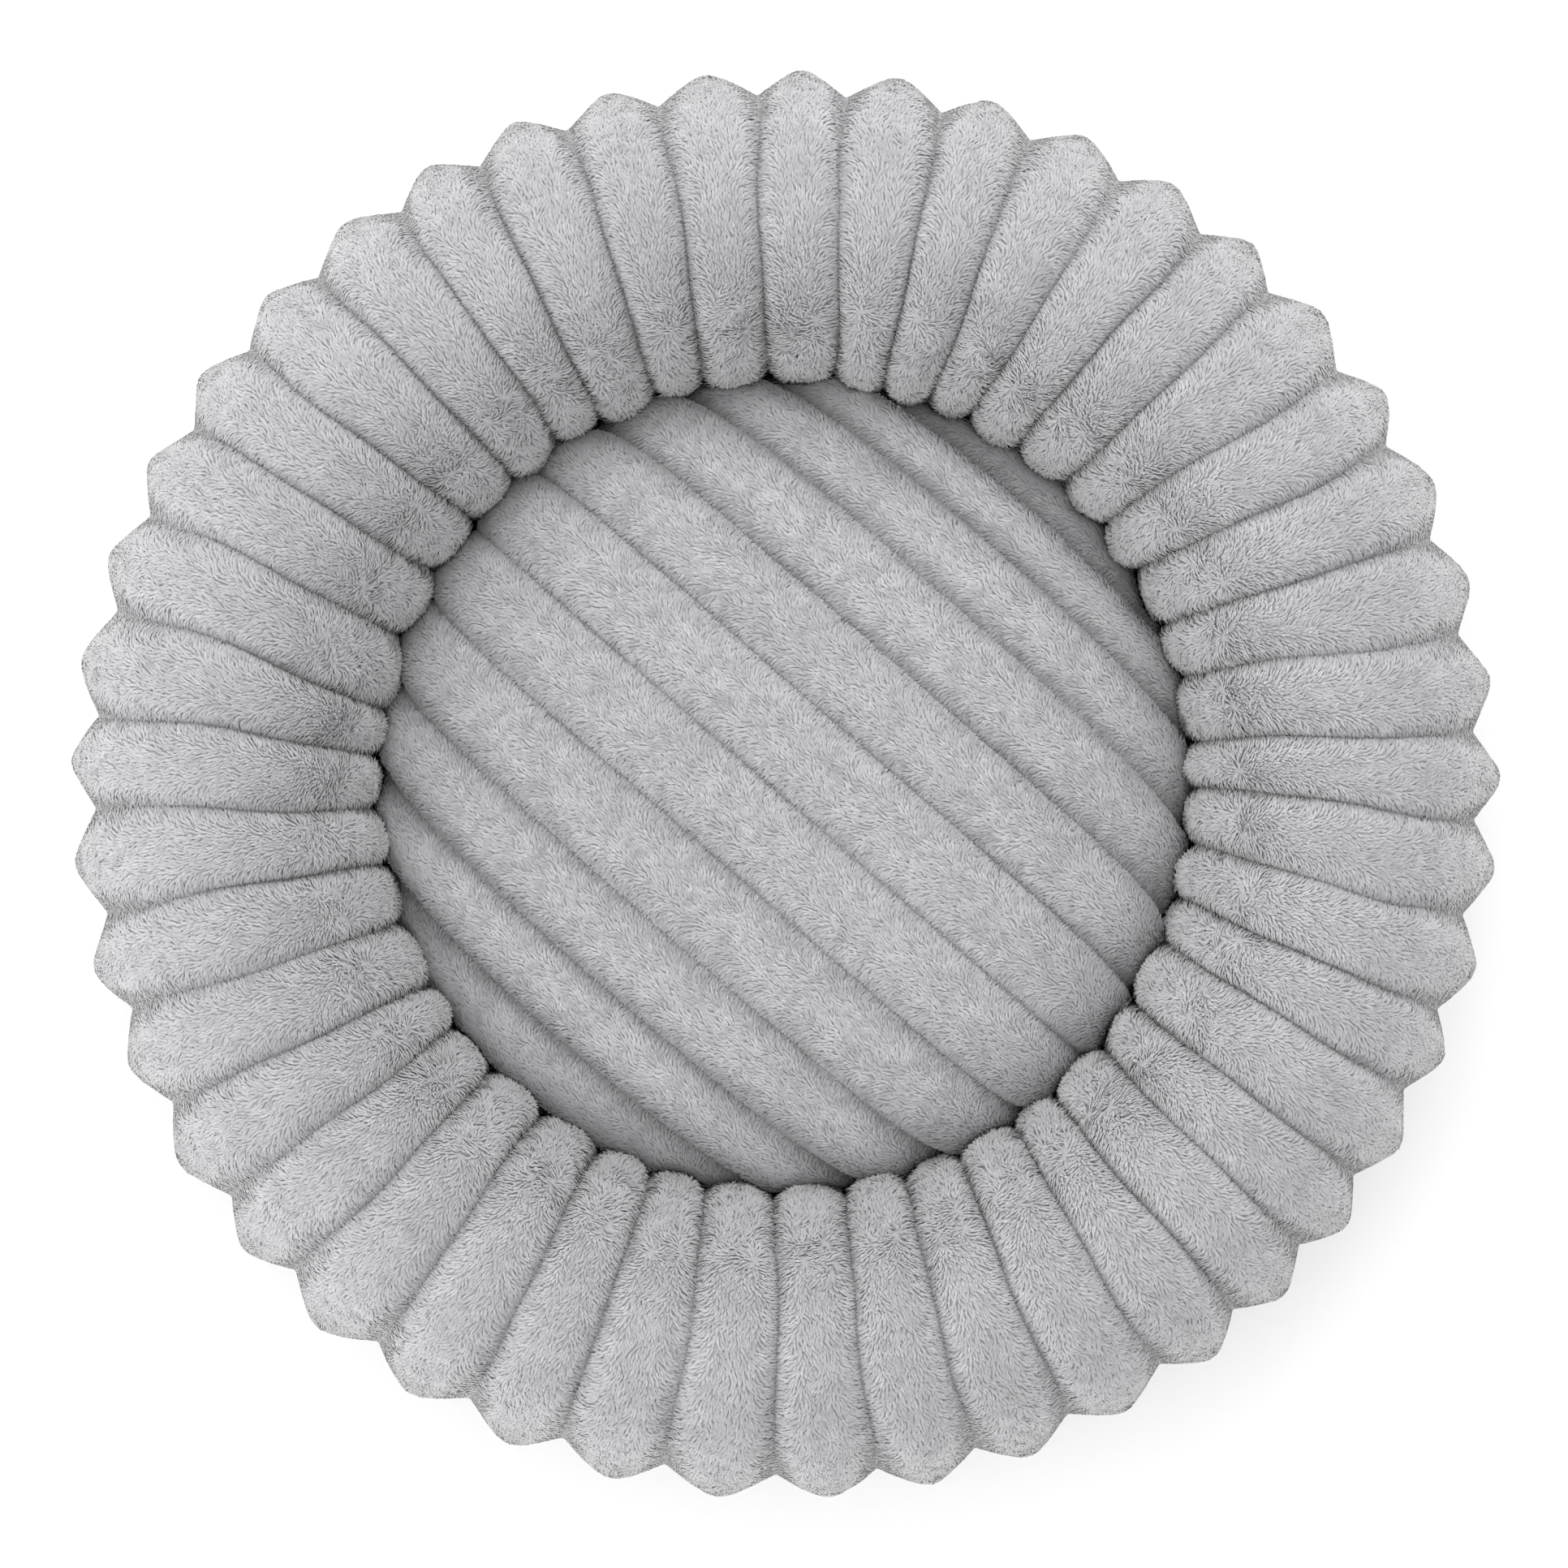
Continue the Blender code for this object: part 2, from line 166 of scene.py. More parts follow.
def group_sockets(group, inputs, outputs):
    """Named inputs with their values, and named outputs, for a node group."""
    for name, kind, value in inputs:
        made = group.interface.new_socket(name, in_out="INPUT", socket_type=kind)
        if value is not None:
            made.default_value = value
    for name, kind in outputs:
        group.interface.new_socket(name, in_out="OUTPUT", socket_type=kind)
    return group.nodes.new("NodeGroupInput"), group.nodes.new("NodeGroupOutput")


def maths(group, operation, *values):
    """A Math node in a group; each value is a number or the socket that gives it."""
    made = group.nodes.new("ShaderNodeMath")
    made.operation = operation
    for place, value in enumerate(values):
        if isinstance(value, (int, float)):
            made.inputs[place].default_value = value
        else:
            group.links.new(value, made.inputs[place])
    return made.outputs["Value"]


# Plain weave: warp and weft threads that cross over and under, from a flat position in metres.
weave = bpy.data.node_groups.new("plain weave", "ShaderNodeTree")
given, out = group_sockets(
    weave,
    [("Position", "NodeSocketVector", None), ("Threads per metre", "NodeSocketFloat", 900.0)],
    [("Height", "NodeSocketFloat"), ("Painted shade", "NodeSocketFloat")],
)
split = weave.nodes.new("ShaderNodeSeparateXYZ")
weave.links.new(given.outputs["Position"], split.inputs["Vector"])
warp = maths(weave, "MULTIPLY", split.outputs["X"], given.outputs["Threads per metre"])
weft = maths(weave, "MULTIPLY", split.outputs["Y"], given.outputs["Threads per metre"])
warp_round = maths(weave, "ABSOLUTE", maths(weave, "SINE", maths(weave, "MULTIPLY", warp, math.pi)))
weft_round = maths(weave, "ABSOLUTE", maths(weave, "SINE", maths(weave, "MULTIPLY", weft, math.pi)))
crossing = maths(weave, "ADD", maths(weave, "FLOOR", warp), maths(weave, "FLOOR", weft))
over = maths(weave, "PINGPONG", crossing, 1.0)
under = maths(weave, "SUBTRACT", 1.0, over)
warp_high = maths(weave, "MULTIPLY", over, warp_round)
raised = maths(weave, "MULTIPLY_ADD", under, weft_round, warp_high)
weave.links.new(raised, out.inputs["Height"])
# The second output is painted shade: dark in the hollows between the threads and light on their crowns.
weave.links.new(maths(weave, "MULTIPLY", warp_round, weft_round), out.inputs["Painted shade"])

# Position on a band that runs round the bed's axis, unrolled: along it, and up it, in metres.
unrolled = bpy.data.node_groups.new("unrolled band", "ShaderNodeTree")
given, out = group_sockets(
    unrolled,
    [("Position", "NodeSocketVector", None), ("Radius", "NodeSocketFloat", 0.15)],
    [("Position", "NodeSocketVector")],
)
split = unrolled.nodes.new("ShaderNodeSeparateXYZ")
unrolled.links.new(given.outputs["Position"], split.inputs["Vector"])
turned = maths(unrolled, "ARCTAN2", split.outputs["Y"], split.outputs["X"])
joined = unrolled.nodes.new("ShaderNodeCombineXYZ")
unrolled.links.new(maths(unrolled, "MULTIPLY", turned, given.outputs["Radius"]), joined.inputs["X"])
unrolled.links.new(split.outputs["Z"], joined.inputs["Y"])
unrolled.links.new(joined.outputs["Vector"], out.inputs["Position"])


def placed_group(material, group, **values):
    """A node group in this material, with its own values."""
    made = material.node_tree.nodes.new("ShaderNodeGroup")
    made.node_tree = group
    for key, value in values.items():
        made.inputs[key.replace("_", " ")].default_value = value
    return made


def woven(name, dark, light, threads, radius=0.0, relief=0.00012, roughness=0.85):
    """Woven cloth between two colours; radius unrolls it round the bed's axis."""
    made, shader = new_material(name)
    position = node(made, "ShaderNodeTexCoord").outputs["Object"]
    if radius:
        band = placed_group(made, unrolled, Radius=radius)
        join(made, position, band.inputs["Position"])
        position = band.outputs["Position"]
    threads_here = placed_group(made, weave, Threads_per_metre=threads)
    join(made, position, threads_here.inputs["Position"])
    slub = node(made, "ShaderNodeTexNoise", Scale=60.0, Detail=4.0)
    join(made, position, slub.inputs["Vector"])
    # The cloth's colour mixes that painted shade between the threads with real slubs in the yarn.
    mixed = node(made, "ShaderNodeMath", operation="MULTIPLY_ADD")
    mixed.inputs[1].default_value = 0.6
    join(made, threads_here.outputs["Painted shade"], mixed.inputs[0])
    join(made, slub.outputs["Fac"], mixed.inputs[2])
    toned(made, shader, mixed.outputs["Value"], dark, light, 0.25)
    bumped(made, shader, threads_here.outputs["Height"], 0.6, relief)
    shader.inputs["Roughness"].default_value = roughness
    shader.inputs["Specular IOR Level"].default_value = 0.25
    return made


def finish_node(name, finish):
    """The finish of a CAD piece that shows as it is."""
    for slot in nodes[name].material_slots:
        slot.material = finish


base_cloth = woven("base cloth, oxford weave", (0.10, 0.10, 0.105), (0.19, 0.19, 0.20), 1100.0)
floor_cloth = woven("floor cloth, plain weave", (0.42, 0.42, 0.43), (0.60, 0.60, 0.61), 1500.0)
finish_node("base_sheet", base_cloth)
finish_node("floor_lining", floor_cloth)

fibre, fibre_shader = new_material("polyester fibre")
fluff = noise_in(fibre, 260.0, 6.0, Roughness=0.7, Distortion=1.4)
toned(fibre, fibre_shader, fluff, (0.66, 0.66, 0.65), (0.90, 0.90, 0.89))
bumped(fibre, fibre_shader, fluff, 0.8, 0.0015)
fibre_shader.inputs["Roughness"].default_value = 0.95
finish_node("base_wadding", fibre)

# Grosgrain: ribs across the tape.
ribbed, ribbed_shader = new_material("ribbed binding tape")
tape_place = node(ribbed, "ShaderNodeTexCoord")
tape_band = placed_group(ribbed, unrolled, Radius=0.268)
ribs = node(ribbed, "ShaderNodeTexWave", Scale=95.0, Distortion=0.3, Detail_Scale=4.0)
ribs.bands_direction = "X"
join(ribbed, tape_place.outputs["Object"], tape_band.inputs["Position"])
join(ribbed, tape_band.outputs["Position"], ribs.inputs["Vector"])
toned(ribbed, ribbed_shader, ribs.outputs["Fac"], (0.25, 0.25, 0.26), (0.39, 0.39, 0.40))
bumped(ribbed, ribbed_shader, ribs.outputs["Fac"], 0.7, 0.0003)
ribbed_shader.inputs["Roughness"].default_value = 0.7
finish_node("base_binding", ribbed)


def keep_in_mesh(piece):
    """Put an object's place, turn and size into its mesh."""
    bpy.ops.object.select_all(action="DESELECT")
    piece.select_set(True)
    bpy.context.view_layer.objects.active = piece
    bpy.ops.object.transform_apply(location=True, rotation=True, scale=True)
    piece.select_set(False)


def read_points(mesh):
    flat = np.empty(len(mesh.vertices) * 3, np.float32)
    mesh.vertices.foreach_get("co", flat)
    return flat.reshape(-1, 3).astype(float)


def repeated(piece, name, turns, moves):
    """One mesh of many copies of a small piece: each turned about the bed's axis, then moved."""
    mesh = piece.data
    mesh.calc_loop_triangles()
    points = read_points(mesh)
    triangles = np.array([t.vertices[:] for t in mesh.loop_triangles])
    cos, sin = np.cos(turns)[:, None], np.sin(turns)[:, None]
    x = points[:, 0] * cos - points[:, 1] * sin
    y = points[:, 0] * sin + points[:, 1] * cos
    z = np.broadcast_to(points[:, 2], x.shape)
    copies = np.stack([x, y, z], axis=2) + np.asarray(moves)[:, None, :]
    shifted = triangles[None] + (np.arange(len(turns)) * len(points))[:, None, None]
    made = bpy.data.meshes.new(name)
    made.from_pydata(copies.reshape(-1, 3), [], shifted.reshape(-1, 3))
    made.shade_smooth()
    bpy.data.objects.remove(piece)
    shown = bpy.data.objects.new(name, made)
    scene.collection.objects.link(shown)
    return shown


# Rubber dots, printed on the underside of the base cloth so that the bed doesn't slide.
DOT_PITCH = 0.0115
DOT_FIELD = 0.262               # radius of the part of the cloth they cover
bpy.ops.mesh.primitive_cone_add(
    vertices=10, radius1=0.0008, radius2=0.0016, depth=0.0004, end_fill_type="NOTHING",
)
dot = bpy.context.object
bpy.ops.object.mode_set(mode="EDIT")
bpy.ops.mesh.select_all(action="SELECT")
bpy.ops.mesh.fill_holes(sides=10)
bpy.ops.mesh.normals_make_consistent(inside=False)
bpy.ops.object.mode_set(mode="OBJECT")
spots = np.array([
    ((i + 0.5 * (j % 2)) * DOT_PITCH, j * DOT_PITCH * math.sqrt(0.75), -0.00015)
    for j in range(-27, 28) for i in range(-24, 25)
])
spots = spots[np.hypot(spots[:, 0], spots[:, 1]) < DOT_FIELD]
dots = repeated(dot, "grip_dots", np.zeros(len(spots)), spots)
rubber, rubber_shader = new_material("soft rubber dots")
toned(rubber, rubber_shader, noise_in(rubber, 900.0, 2.0), (0.33, 0.33, 0.34), (0.45, 0.45, 0.46))
rubber_shader.inputs["Roughness"].default_value = 0.55
dots.data.materials.append(rubber)
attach(dots, "bed")

# A row of lockstitches along the tape.
thread, thread_shader = new_material("sewing thread")
toned(thread, thread_shader, noise_in(thread, 1500.0, 2.0), (0.36, 0.36, 0.37), (0.55, 0.55, 0.56))
thread_shader.inputs["Roughness"].default_value = 0.6


def stitch_row(name, radius, height, start, sweep, pitch, body):
    """A row of stitches round the bed's axis, each a short raised bead of thread."""
    here = (radius, 0.0, height)
    bpy.ops.mesh.primitive_uv_sphere_add(segments=8, ring_count=5, radius=1.0, location=here)
    stitch = bpy.context.object
    stitch.scale = (0.00028, pitch * 0.38, 0.00032)
    keep_in_mesh(stitch)
    count = int(sweep * radius / pitch)
    turns = start + sweep * (np.arange(count) + 0.5) / count
    row = repeated(stitch, name, turns, np.zeros((count, 3)))
    row.data.materials.append(thread)
    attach(row, body)


stitch_row("binding_stitches", 0.26805, 0.0088, 0.0, 2 * math.pi, 0.0042, "bed")


# --------------------------------------------------
# The care label: a short blank tab of white satin tape, woven from fine bright polyester thread
# and caught by one end in the binding's seam.

satin = woven(
    "blank satin label", (0.72, 0.72, 0.71), (0.84, 0.84, 0.83), 2600.0, relief=0.00005, roughness=0.45,
)
finish_node("care_label", satin)


# --------------------------------------------------
# Inside the bolster: the thin plain-woven cloth that the plush is quilted to, sewn with it along
# every seam, and the ring of loose polyester fibre that fills the channels.

finish_node("bolster_lining", floor_cloth)
finish_node("bolster_filling", fibre)


# --------------------------------------------------
# The bolster's cover: a thick ring of plush, sewn to a lining in 44 channels that run over the
# ring from its outer foot to its inner foot, and stuffed with fibre. Each channel is its own
# puffed finger, pointed in section at the rim, rounder on top, and crowded at the well.

def smooth_step(low, high, value):
    share = np.clip((value - low) / (high - low), 0.0, 1.0)
    return share * share * (3.0 - 2.0 * share)


def drift(points, size, seed):
    """Smooth random values from -1 to 1 over these points, in patches of this size."""
    cell = np.asarray(points, float) / size
    low = np.floor(cell).astype(np.int64)
    share = cell - low
    share = share * share * (3.0 - 2.0 * share)
    total = np.zeros(len(cell))
    for corner in np.ndindex(2, 2, 2):
        at = low + corner
        mixed = at[:, 0] * 73856093 ^ at[:, 1] * 19349663 ^ at[:, 2] * 83492791 ^ (seed * 2654435761)
        mixed = (mixed ^ (mixed >> 13)) * 1274126177 & 0xFFFFFFFF
        mixed = (mixed ^ (mixed >> 16)) * 2246822519 & 0xFFFFFFFF
        value = (mixed >> 8 & 0xFFFF) / 32767.5 - 1.0
        weight = np.prod(np.where(corner, share, 1.0 - share), axis=1)
        total += weight * value
    return total


def write_points(mesh, points):
    mesh.vertices.foreach_set("co", np.asarray(points, np.float32).ravel())
    mesh.update()


def write_values(mesh, name, values):
    """A number for each vertex, kept on the mesh under this name."""
    held = mesh.attributes.new(name, "FLOAT", "POINT")
    held.data.foreach_set("value", np.asarray(values, np.float32))


def read_values(mesh, name):
    values = np.empty(len(mesh.vertices), np.float32)
    mesh.attributes[name].data.foreach_get("value", values)
    return values.astype(float)


CHANNELS = 44
COLUMNS = 8                     # faces across one channel
ROWS = 56                       # faces round the bolster's section
SKIN_ROWS = 47                  # of them, those from the outer foot over the top to the inner foot
TUBE_CENTRE = 0.233             # radius of the middle of the bolster's section
TUBE_RADIUS = 0.067
TUBE_RISE = 0.094
TUBE_DROP = 0.08626
FOOT_HEIGHT = 0.0113
PILE_ROOM = 0.0024              # how far the laid pile stands above the cloth's back
RIM_SEAM, TOP_SEAM, WELL_SEAM = 0.0112, 0.0082, 0.0096    # depth of the seams
rng = np.random.default_rng(44)

# How far the seams have turned by the time they reach the well, in degrees, at these angles.
WELL_TURN_AT = [
    0, 21, 61, 69, 77, 85, 92, 108, 116, 131, 141, 157, 165, 190, 208, 216, 300, 311, 343, 352, 360,
]
WELL_TURN = [
    2.0, 1.5, 2.5, 0.5, -1.5, -1.5, 0, 0, 1.5, -1.2, -1.2, 1.0, 3.0, 0, 2.0, 0, 0, 1.0, 3.6, 2.5, 2.0,
]
rim_jitter = rng.uniform(-0.4, 0.4, CHANNELS)
well_jitter = rng.uniform(-0.9, 0.9, CHANNELS)
wave_start = rng.uniform(0.0, 2 * math.pi, CHANNELS)
reach_in = rng.uniform(-0.0016, 0.0012, CHANNELS)    # how far each finger's end reaches into the well
height_change = rng.uniform(-0.0014, 0.0006, CHANNELS)    # how far its crest stands off the section
roundness = rng.uniform(0.1, 0.9, CHANNELS)          # how round each finger is at its end
skew = rng.uniform(-0.22, 0.22, CHANNELS)            # how far each channel leans over one of its seams


def seam_angles(lean):
    """Where each seam lies round the bed, for one lean angle of the section, in radians."""
    step = 2 * math.pi * np.arange(CHANNELS) / CHANNELS
    angle = np.degrees(step) + 4.27
    angle += 1.56 * np.cos(step) - 2.29 * np.sin(step) - 0.75 * np.cos(2 * step)
    angle += 0.36 * np.sin(3 * step) - 0.36 * np.cos(3 * step)
    inwards = smooth_step(60.0, 175.0, lean)
    turned = np.interp(angle % 360.0, WELL_TURN_AT, WELL_TURN) + well_jitter
    wave = 0.30 * np.sin(math.radians(lean) * 2.3 + wave_start)
    wave += 0.12 * np.sin(math.radians(lean) * 5.6 + 3 * wave_start)
    wave = wave * smooth_step(15.0, 75.0, lean)
    return np.radians(angle + rim_jitter + turned * inwards + wave)


def section(lean, inset):
    """(radius, height) of the bolster's section at this lean, inset square to its surface."""
    turned = np.radians(lean)
    across, up = np.cos(turned), np.sin(turned)
    tall = np.where(up > 0, TUBE_RISE, TUBE_DROP)
    normal = np.stack([across / TUBE_RADIUS, up / tall])
    normal /= np.linalg.norm(normal, axis=0)
    radius = TUBE_CENTRE + across * TUBE_RADIUS - inset * normal[0]
    return radius, WIDEST_HEIGHT + up * tall - inset * normal[1]


def rim_shape(across):
    """A pointed arch with a rounded tip."""
    soft = 0.15
    return 1.0 - (np.sqrt(across**2 + soft**2) - soft) / (math.sqrt(1 + soft**2) - soft)


def puffed_shape(across, fulness):
    """A puffed channel: flat over its middle and steep at its seams."""
    return (1.0 - np.abs(np.clip(across, -1, 1)) ** fulness) ** 0.62


def bolster_points(inset):
    """The skin's points as (row, column, xyz), with how far each one is across its channel."""
    points = np.empty((ROWS, CHANNELS * COLUMNS, 3))
    column = np.arange(CHANNELS * COLUMNS)
    channel = column // COLUMNS
    across = (column % COLUMNS) / COLUMNS * 2.0 - 1.0
    for row in range(ROWS):
        lean = -60.0 + 300.0 * min(row, SKIN_ROWS) / SKIN_ROWS
        foot_share = max(0, row - SKIN_ROWS) / (ROWS - SKIN_ROWS)
        seams = seam_angles(lean if row <= SKIN_ROWS else 240.0 - 300.0 * foot_share)
        widths = np.diff(np.append(seams, seams[0] + 2 * math.pi))
        around = seams[channel] + (across + 1.0) / 2.0 * widths[channel]
        puff = smooth_step(12.0, 62.0, lean)
        inner = smooth_step(95.0, 170.0, lean)
        leaned = np.clip(across + skew[channel] * puff * (1.0 - across**2), -1.0, 1.0)
        shape = (1.0 - puff) * rim_shape(across)
        shape += puff * puffed_shape(leaned, 3.4 - (0.4 + roundness[channel]) * inner)
        depth = RIM_SEAM + (TOP_SEAM - RIM_SEAM) * puff + (WELL_SEAM - TOP_SEAM) * inner
        held = smooth_step(-60.0, -30.0, lean) * (1.0 - smooth_step(205.0, 240.0, lean))
        depth *= 0.25 + 0.75 * held
        sunk = inset + depth * (1.0 - shape)
        sunk = sunk - reach_in[channel] * inner * held * (1.0 - across**2)
        sunk = sunk - height_change[channel] * puff * (1.0 - inner) * (1.0 - across**2)
        radius, height = section(np.full(len(column), lean), sunk)
        if row >= SKIN_ROWS or row == 0:
            height = np.full(len(column), FOOT_HEIGHT)
        if row > SKIN_ROWS:
            radius = radius + (TUBE_RADIUS - PILE_ROOM) * foot_share
        points[row] = np.stack([radius * np.cos(around), radius * np.sin(around), height], axis=1)
    return points, across


def grid_places(mesh, columns, rows):
    """The column and row of each point of a square grid two metres wide."""
    start = read_points(mesh)
    column = np.round((start[:, 0] + 1.0) / 2.0 * columns).astype(int)
    row = np.round((start[:, 1] + 1.0) / 2.0 * rows).astype(int)
    return column, row


def bolster_skin(name, inset):
    """A long panel of cloth, with a line of points on every seam, rolled and joined into the ring."""
    around = CHANNELS * COLUMNS
    bpy.ops.mesh.primitive_grid_add(x_subdivisions=around, y_subdivisions=ROWS, size=2.0)
    made = bpy.context.object
    made.name = name
    mesh = made.data
    column, row = grid_places(mesh, around, ROWS)
    column, row = column % around, row % ROWS
    points, across = bolster_points(inset)
    write_points(mesh, points[row, column])
    write_values(mesh, "across", np.abs(across)[column])
    write_values(mesh, "side", np.sin(math.pi * across)[column])
    write_values(mesh, "lean", -60.0 + 300.0 * np.minimum(row, SKIN_ROWS) / SKIN_ROWS)
    write_values(mesh, "column", column)
    write_values(mesh, "row", row)
    bpy.ops.object.mode_set(mode="EDIT")
    bpy.ops.mesh.select_all(action="SELECT")
    bpy.ops.mesh.remove_doubles(threshold=0.00005)
    bpy.ops.mesh.normals_make_consistent(inside=False)
    bpy.ops.object.mode_set(mode="OBJECT")
    return made


SETTLING_FRAMES = 20            # of cloth simulation
AIR_PRESSURE = 4.0


def inflate(piece, held, cap):
    """Puff a sewn cover as cloth under air pressure: held is 1 on its seams, cap how far it may move."""
    group = piece.vertex_groups.new(name="sewn")
    for index in np.nonzero(held > 0)[0]:
        group.add([int(index)], float(held[index]), "REPLACE")
    before = read_points(piece.data)
    cloth = piece.modifiers.new("puffed", "CLOTH")
    settings = cloth.settings
    settings.quality = 5
    settings.mass = 0.25
    settings.tension_stiffness = 12.0
    settings.compression_stiffness = 12.0
    settings.shear_stiffness = 5.0
    settings.bending_stiffness = 0.4
    settings.use_pressure = True
    settings.uniform_pressure_force = AIR_PRESSURE
    settings.effector_weights.gravity = 0.0
    settings.vertex_group_mass = "sewn"
    cloth.collision_settings.use_collision = False
    cloth.point_cache.frame_start = 1
    cloth.point_cache.frame_end = SETTLING_FRAMES
    for number in range(1, SETTLING_FRAMES + 1):
        scene.frame_set(number)
    bpy.context.view_layer.objects.active = piece
    bpy.ops.object.modifier_apply(modifier=cloth.name)
    scene.frame_set(1)
    moved = read_points(piece.data) - before
    length = np.linalg.norm(moved, axis=1)
    limit = np.minimum(1.0, cap / np.maximum(length, 1e-9))
    write_points(piece.data, before + moved * limit[:, None])
    piece.vertex_groups.clear()


def normals_of(mesh):
    flat = np.empty(len(mesh.vertices) * 3, np.float32)
    mesh.vertices.foreach_get("normal", flat)
    return flat.reshape(-1, 3).astype(float)


def lump(piece, size, amount, seed):
    """Uneven stuffing: swells and dips of this size, none on the seams."""
    points = read_points(piece.data)
    free = 1.0 - smooth_step(0.45, 1.0, read_values(piece.data, "across"))
    free *= smooth_step(FOOT_HEIGHT, FOOT_HEIGHT + 0.03, points[:, 2])
    swell = amount * free * drift(points, size, seed)
    write_points(piece.data, points + normals_of(piece.data) * swell[:, None])


def subdivide_once(piece, sewn_line):
    """One level of smooth subdivision, applied, which keeps the sewn lines sharp."""
    mesh = piece.data
    ends = np.empty(len(mesh.edges) * 2, np.int32)
    mesh.edges.foreach_get("vertices", ends)
    ends = ends.reshape(-1, 2)
    sharp = sewn_line[ends].all(axis=1)
    crease = mesh.attributes.new("crease_edge", "FLOAT", "EDGE")
    crease.data.foreach_set("value", sharp.astype(np.float32))
    smooth = piece.modifiers.new("smoothed", "SUBSURF")
    smooth.levels = 1
    smooth.render_levels = 1
    bpy.context.view_layer.objects.active = piece
    bpy.ops.object.modifier_apply(modifier=smooth.name)
    piece.data.shade_smooth()


bolster = bolster_skin("bolster_plush", PILE_ROOM)
bolster_row = read_values(bolster.data, "row")
bolster_column = read_values(bolster.data, "column")
on_seam = bolster_column % COLUMNS == 0
on_foot = (bolster_row >= SKIN_ROWS) | (bolster_row == 0)
inflate(bolster, np.where(on_seam | on_foot, 1.0, 0.0), 0.0022)
lump(bolster, 0.028, 0.0011, 51)
lump(bolster, 0.011, 0.0005, 52)
subdivide_once(bolster, on_seam)
bpy.ops.object.select_all(action="DESELECT")


plush_back, back_shader = new_material("grey plush, at the roots")
pile_roots = noise_in(plush_back, 420.0, 3.0)
toned(plush_back, back_shader, pile_roots, (0.430, 0.424, 0.436), (0.550, 0.543, 0.557))
bumped(plush_back, back_shader, pile_roots, 0.5, 0.0008)
back_shader.inputs["Roughness"].default_value = 0.95
back_shader.inputs["Specular IOR Level"].default_value = 0.1
bolster.data.materials.append(plush_back)
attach(bolster, "bed")
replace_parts(bolster, "bolster_cover")


# --------------------------------------------------
# The bolster's pile: short, dense, soft polyester fur, brushed over the ring. It lies outwards
# along each channel, parts near the well and hangs down its fingers' ends, and turns into the
# seams at both sides, where it meets in a fine herringbone.

def quads_of(mesh):
    """The corners of each four-sided face."""
    corners = np.empty(len(mesh.loops), np.int32)
    mesh.loops.foreach_get("vertex_index", corners)
    return corners.reshape(-1, 4)


def unit(vectors):
    return vectors / np.maximum(np.linalg.norm(vectors, axis=1), 1e-9)[:, None]


EVEN_STEPS = 0.7548777, 0.5698403       # steps that spread the roots evenly over a face


def scatter(skin, density, seed):
    """Tuft roots spread evenly over a skin; density is a number for each square metre at each vertex."""
    mesh = skin.data
    quads = quads_of(mesh)
    points, normals = read_points(mesh), normals_of(mesh)
    corner = points[quads]
    size = 0.5 * np.linalg.norm(np.cross(corner[:, 2] - corner[:, 0], corner[:, 3] - corner[:, 1]), axis=1)
    dice = np.random.default_rng(seed)
    wanted = size * density[quads].mean(axis=1)
    count = np.floor(wanted + dice.random(len(quads))).astype(int)
    face = np.repeat(np.arange(len(quads)), count)
    first = np.repeat(np.cumsum(count) - count, count)
    number = np.arange(len(face)) - first
    start = dice.random((len(quads), 2))[face]
    u = (start[:, 0] + number * EVEN_STEPS[0]) % 1.0
    v = (start[:, 1] + number * EVEN_STEPS[1]) % 1.0
    shares = np.stack([(1 - u) * (1 - v), u * (1 - v), u * v, (1 - u) * v], axis=1)

    def between(values):
        at_corners = values[quads[face]]
        if at_corners.ndim == 3:
            return np.einsum("nc,ncd->nd", shares, at_corners)
        return np.einsum("nc,nc->n", shares, at_corners)

    return {
        "root": between(points),
        "normal": unit(between(normals)),
        "across": between(read_values(mesh, "across")),
        "side": between(read_values(mesh, "side")),
        "lean": between(read_values(mesh, "lean")),
        "dice": dice,
    }


ROOT_DEPTH = 0.0001                     # how far a lock's root sits under the cloth's back
MIDDLE_LIFT = 0.0003                    # how far it bows up in the middle
TIP_DROP = 0.11                         # how far its tip bends down, as a share of its length
EDGE_TURN = 0.42                        # how far its shading turns outwards at its edges


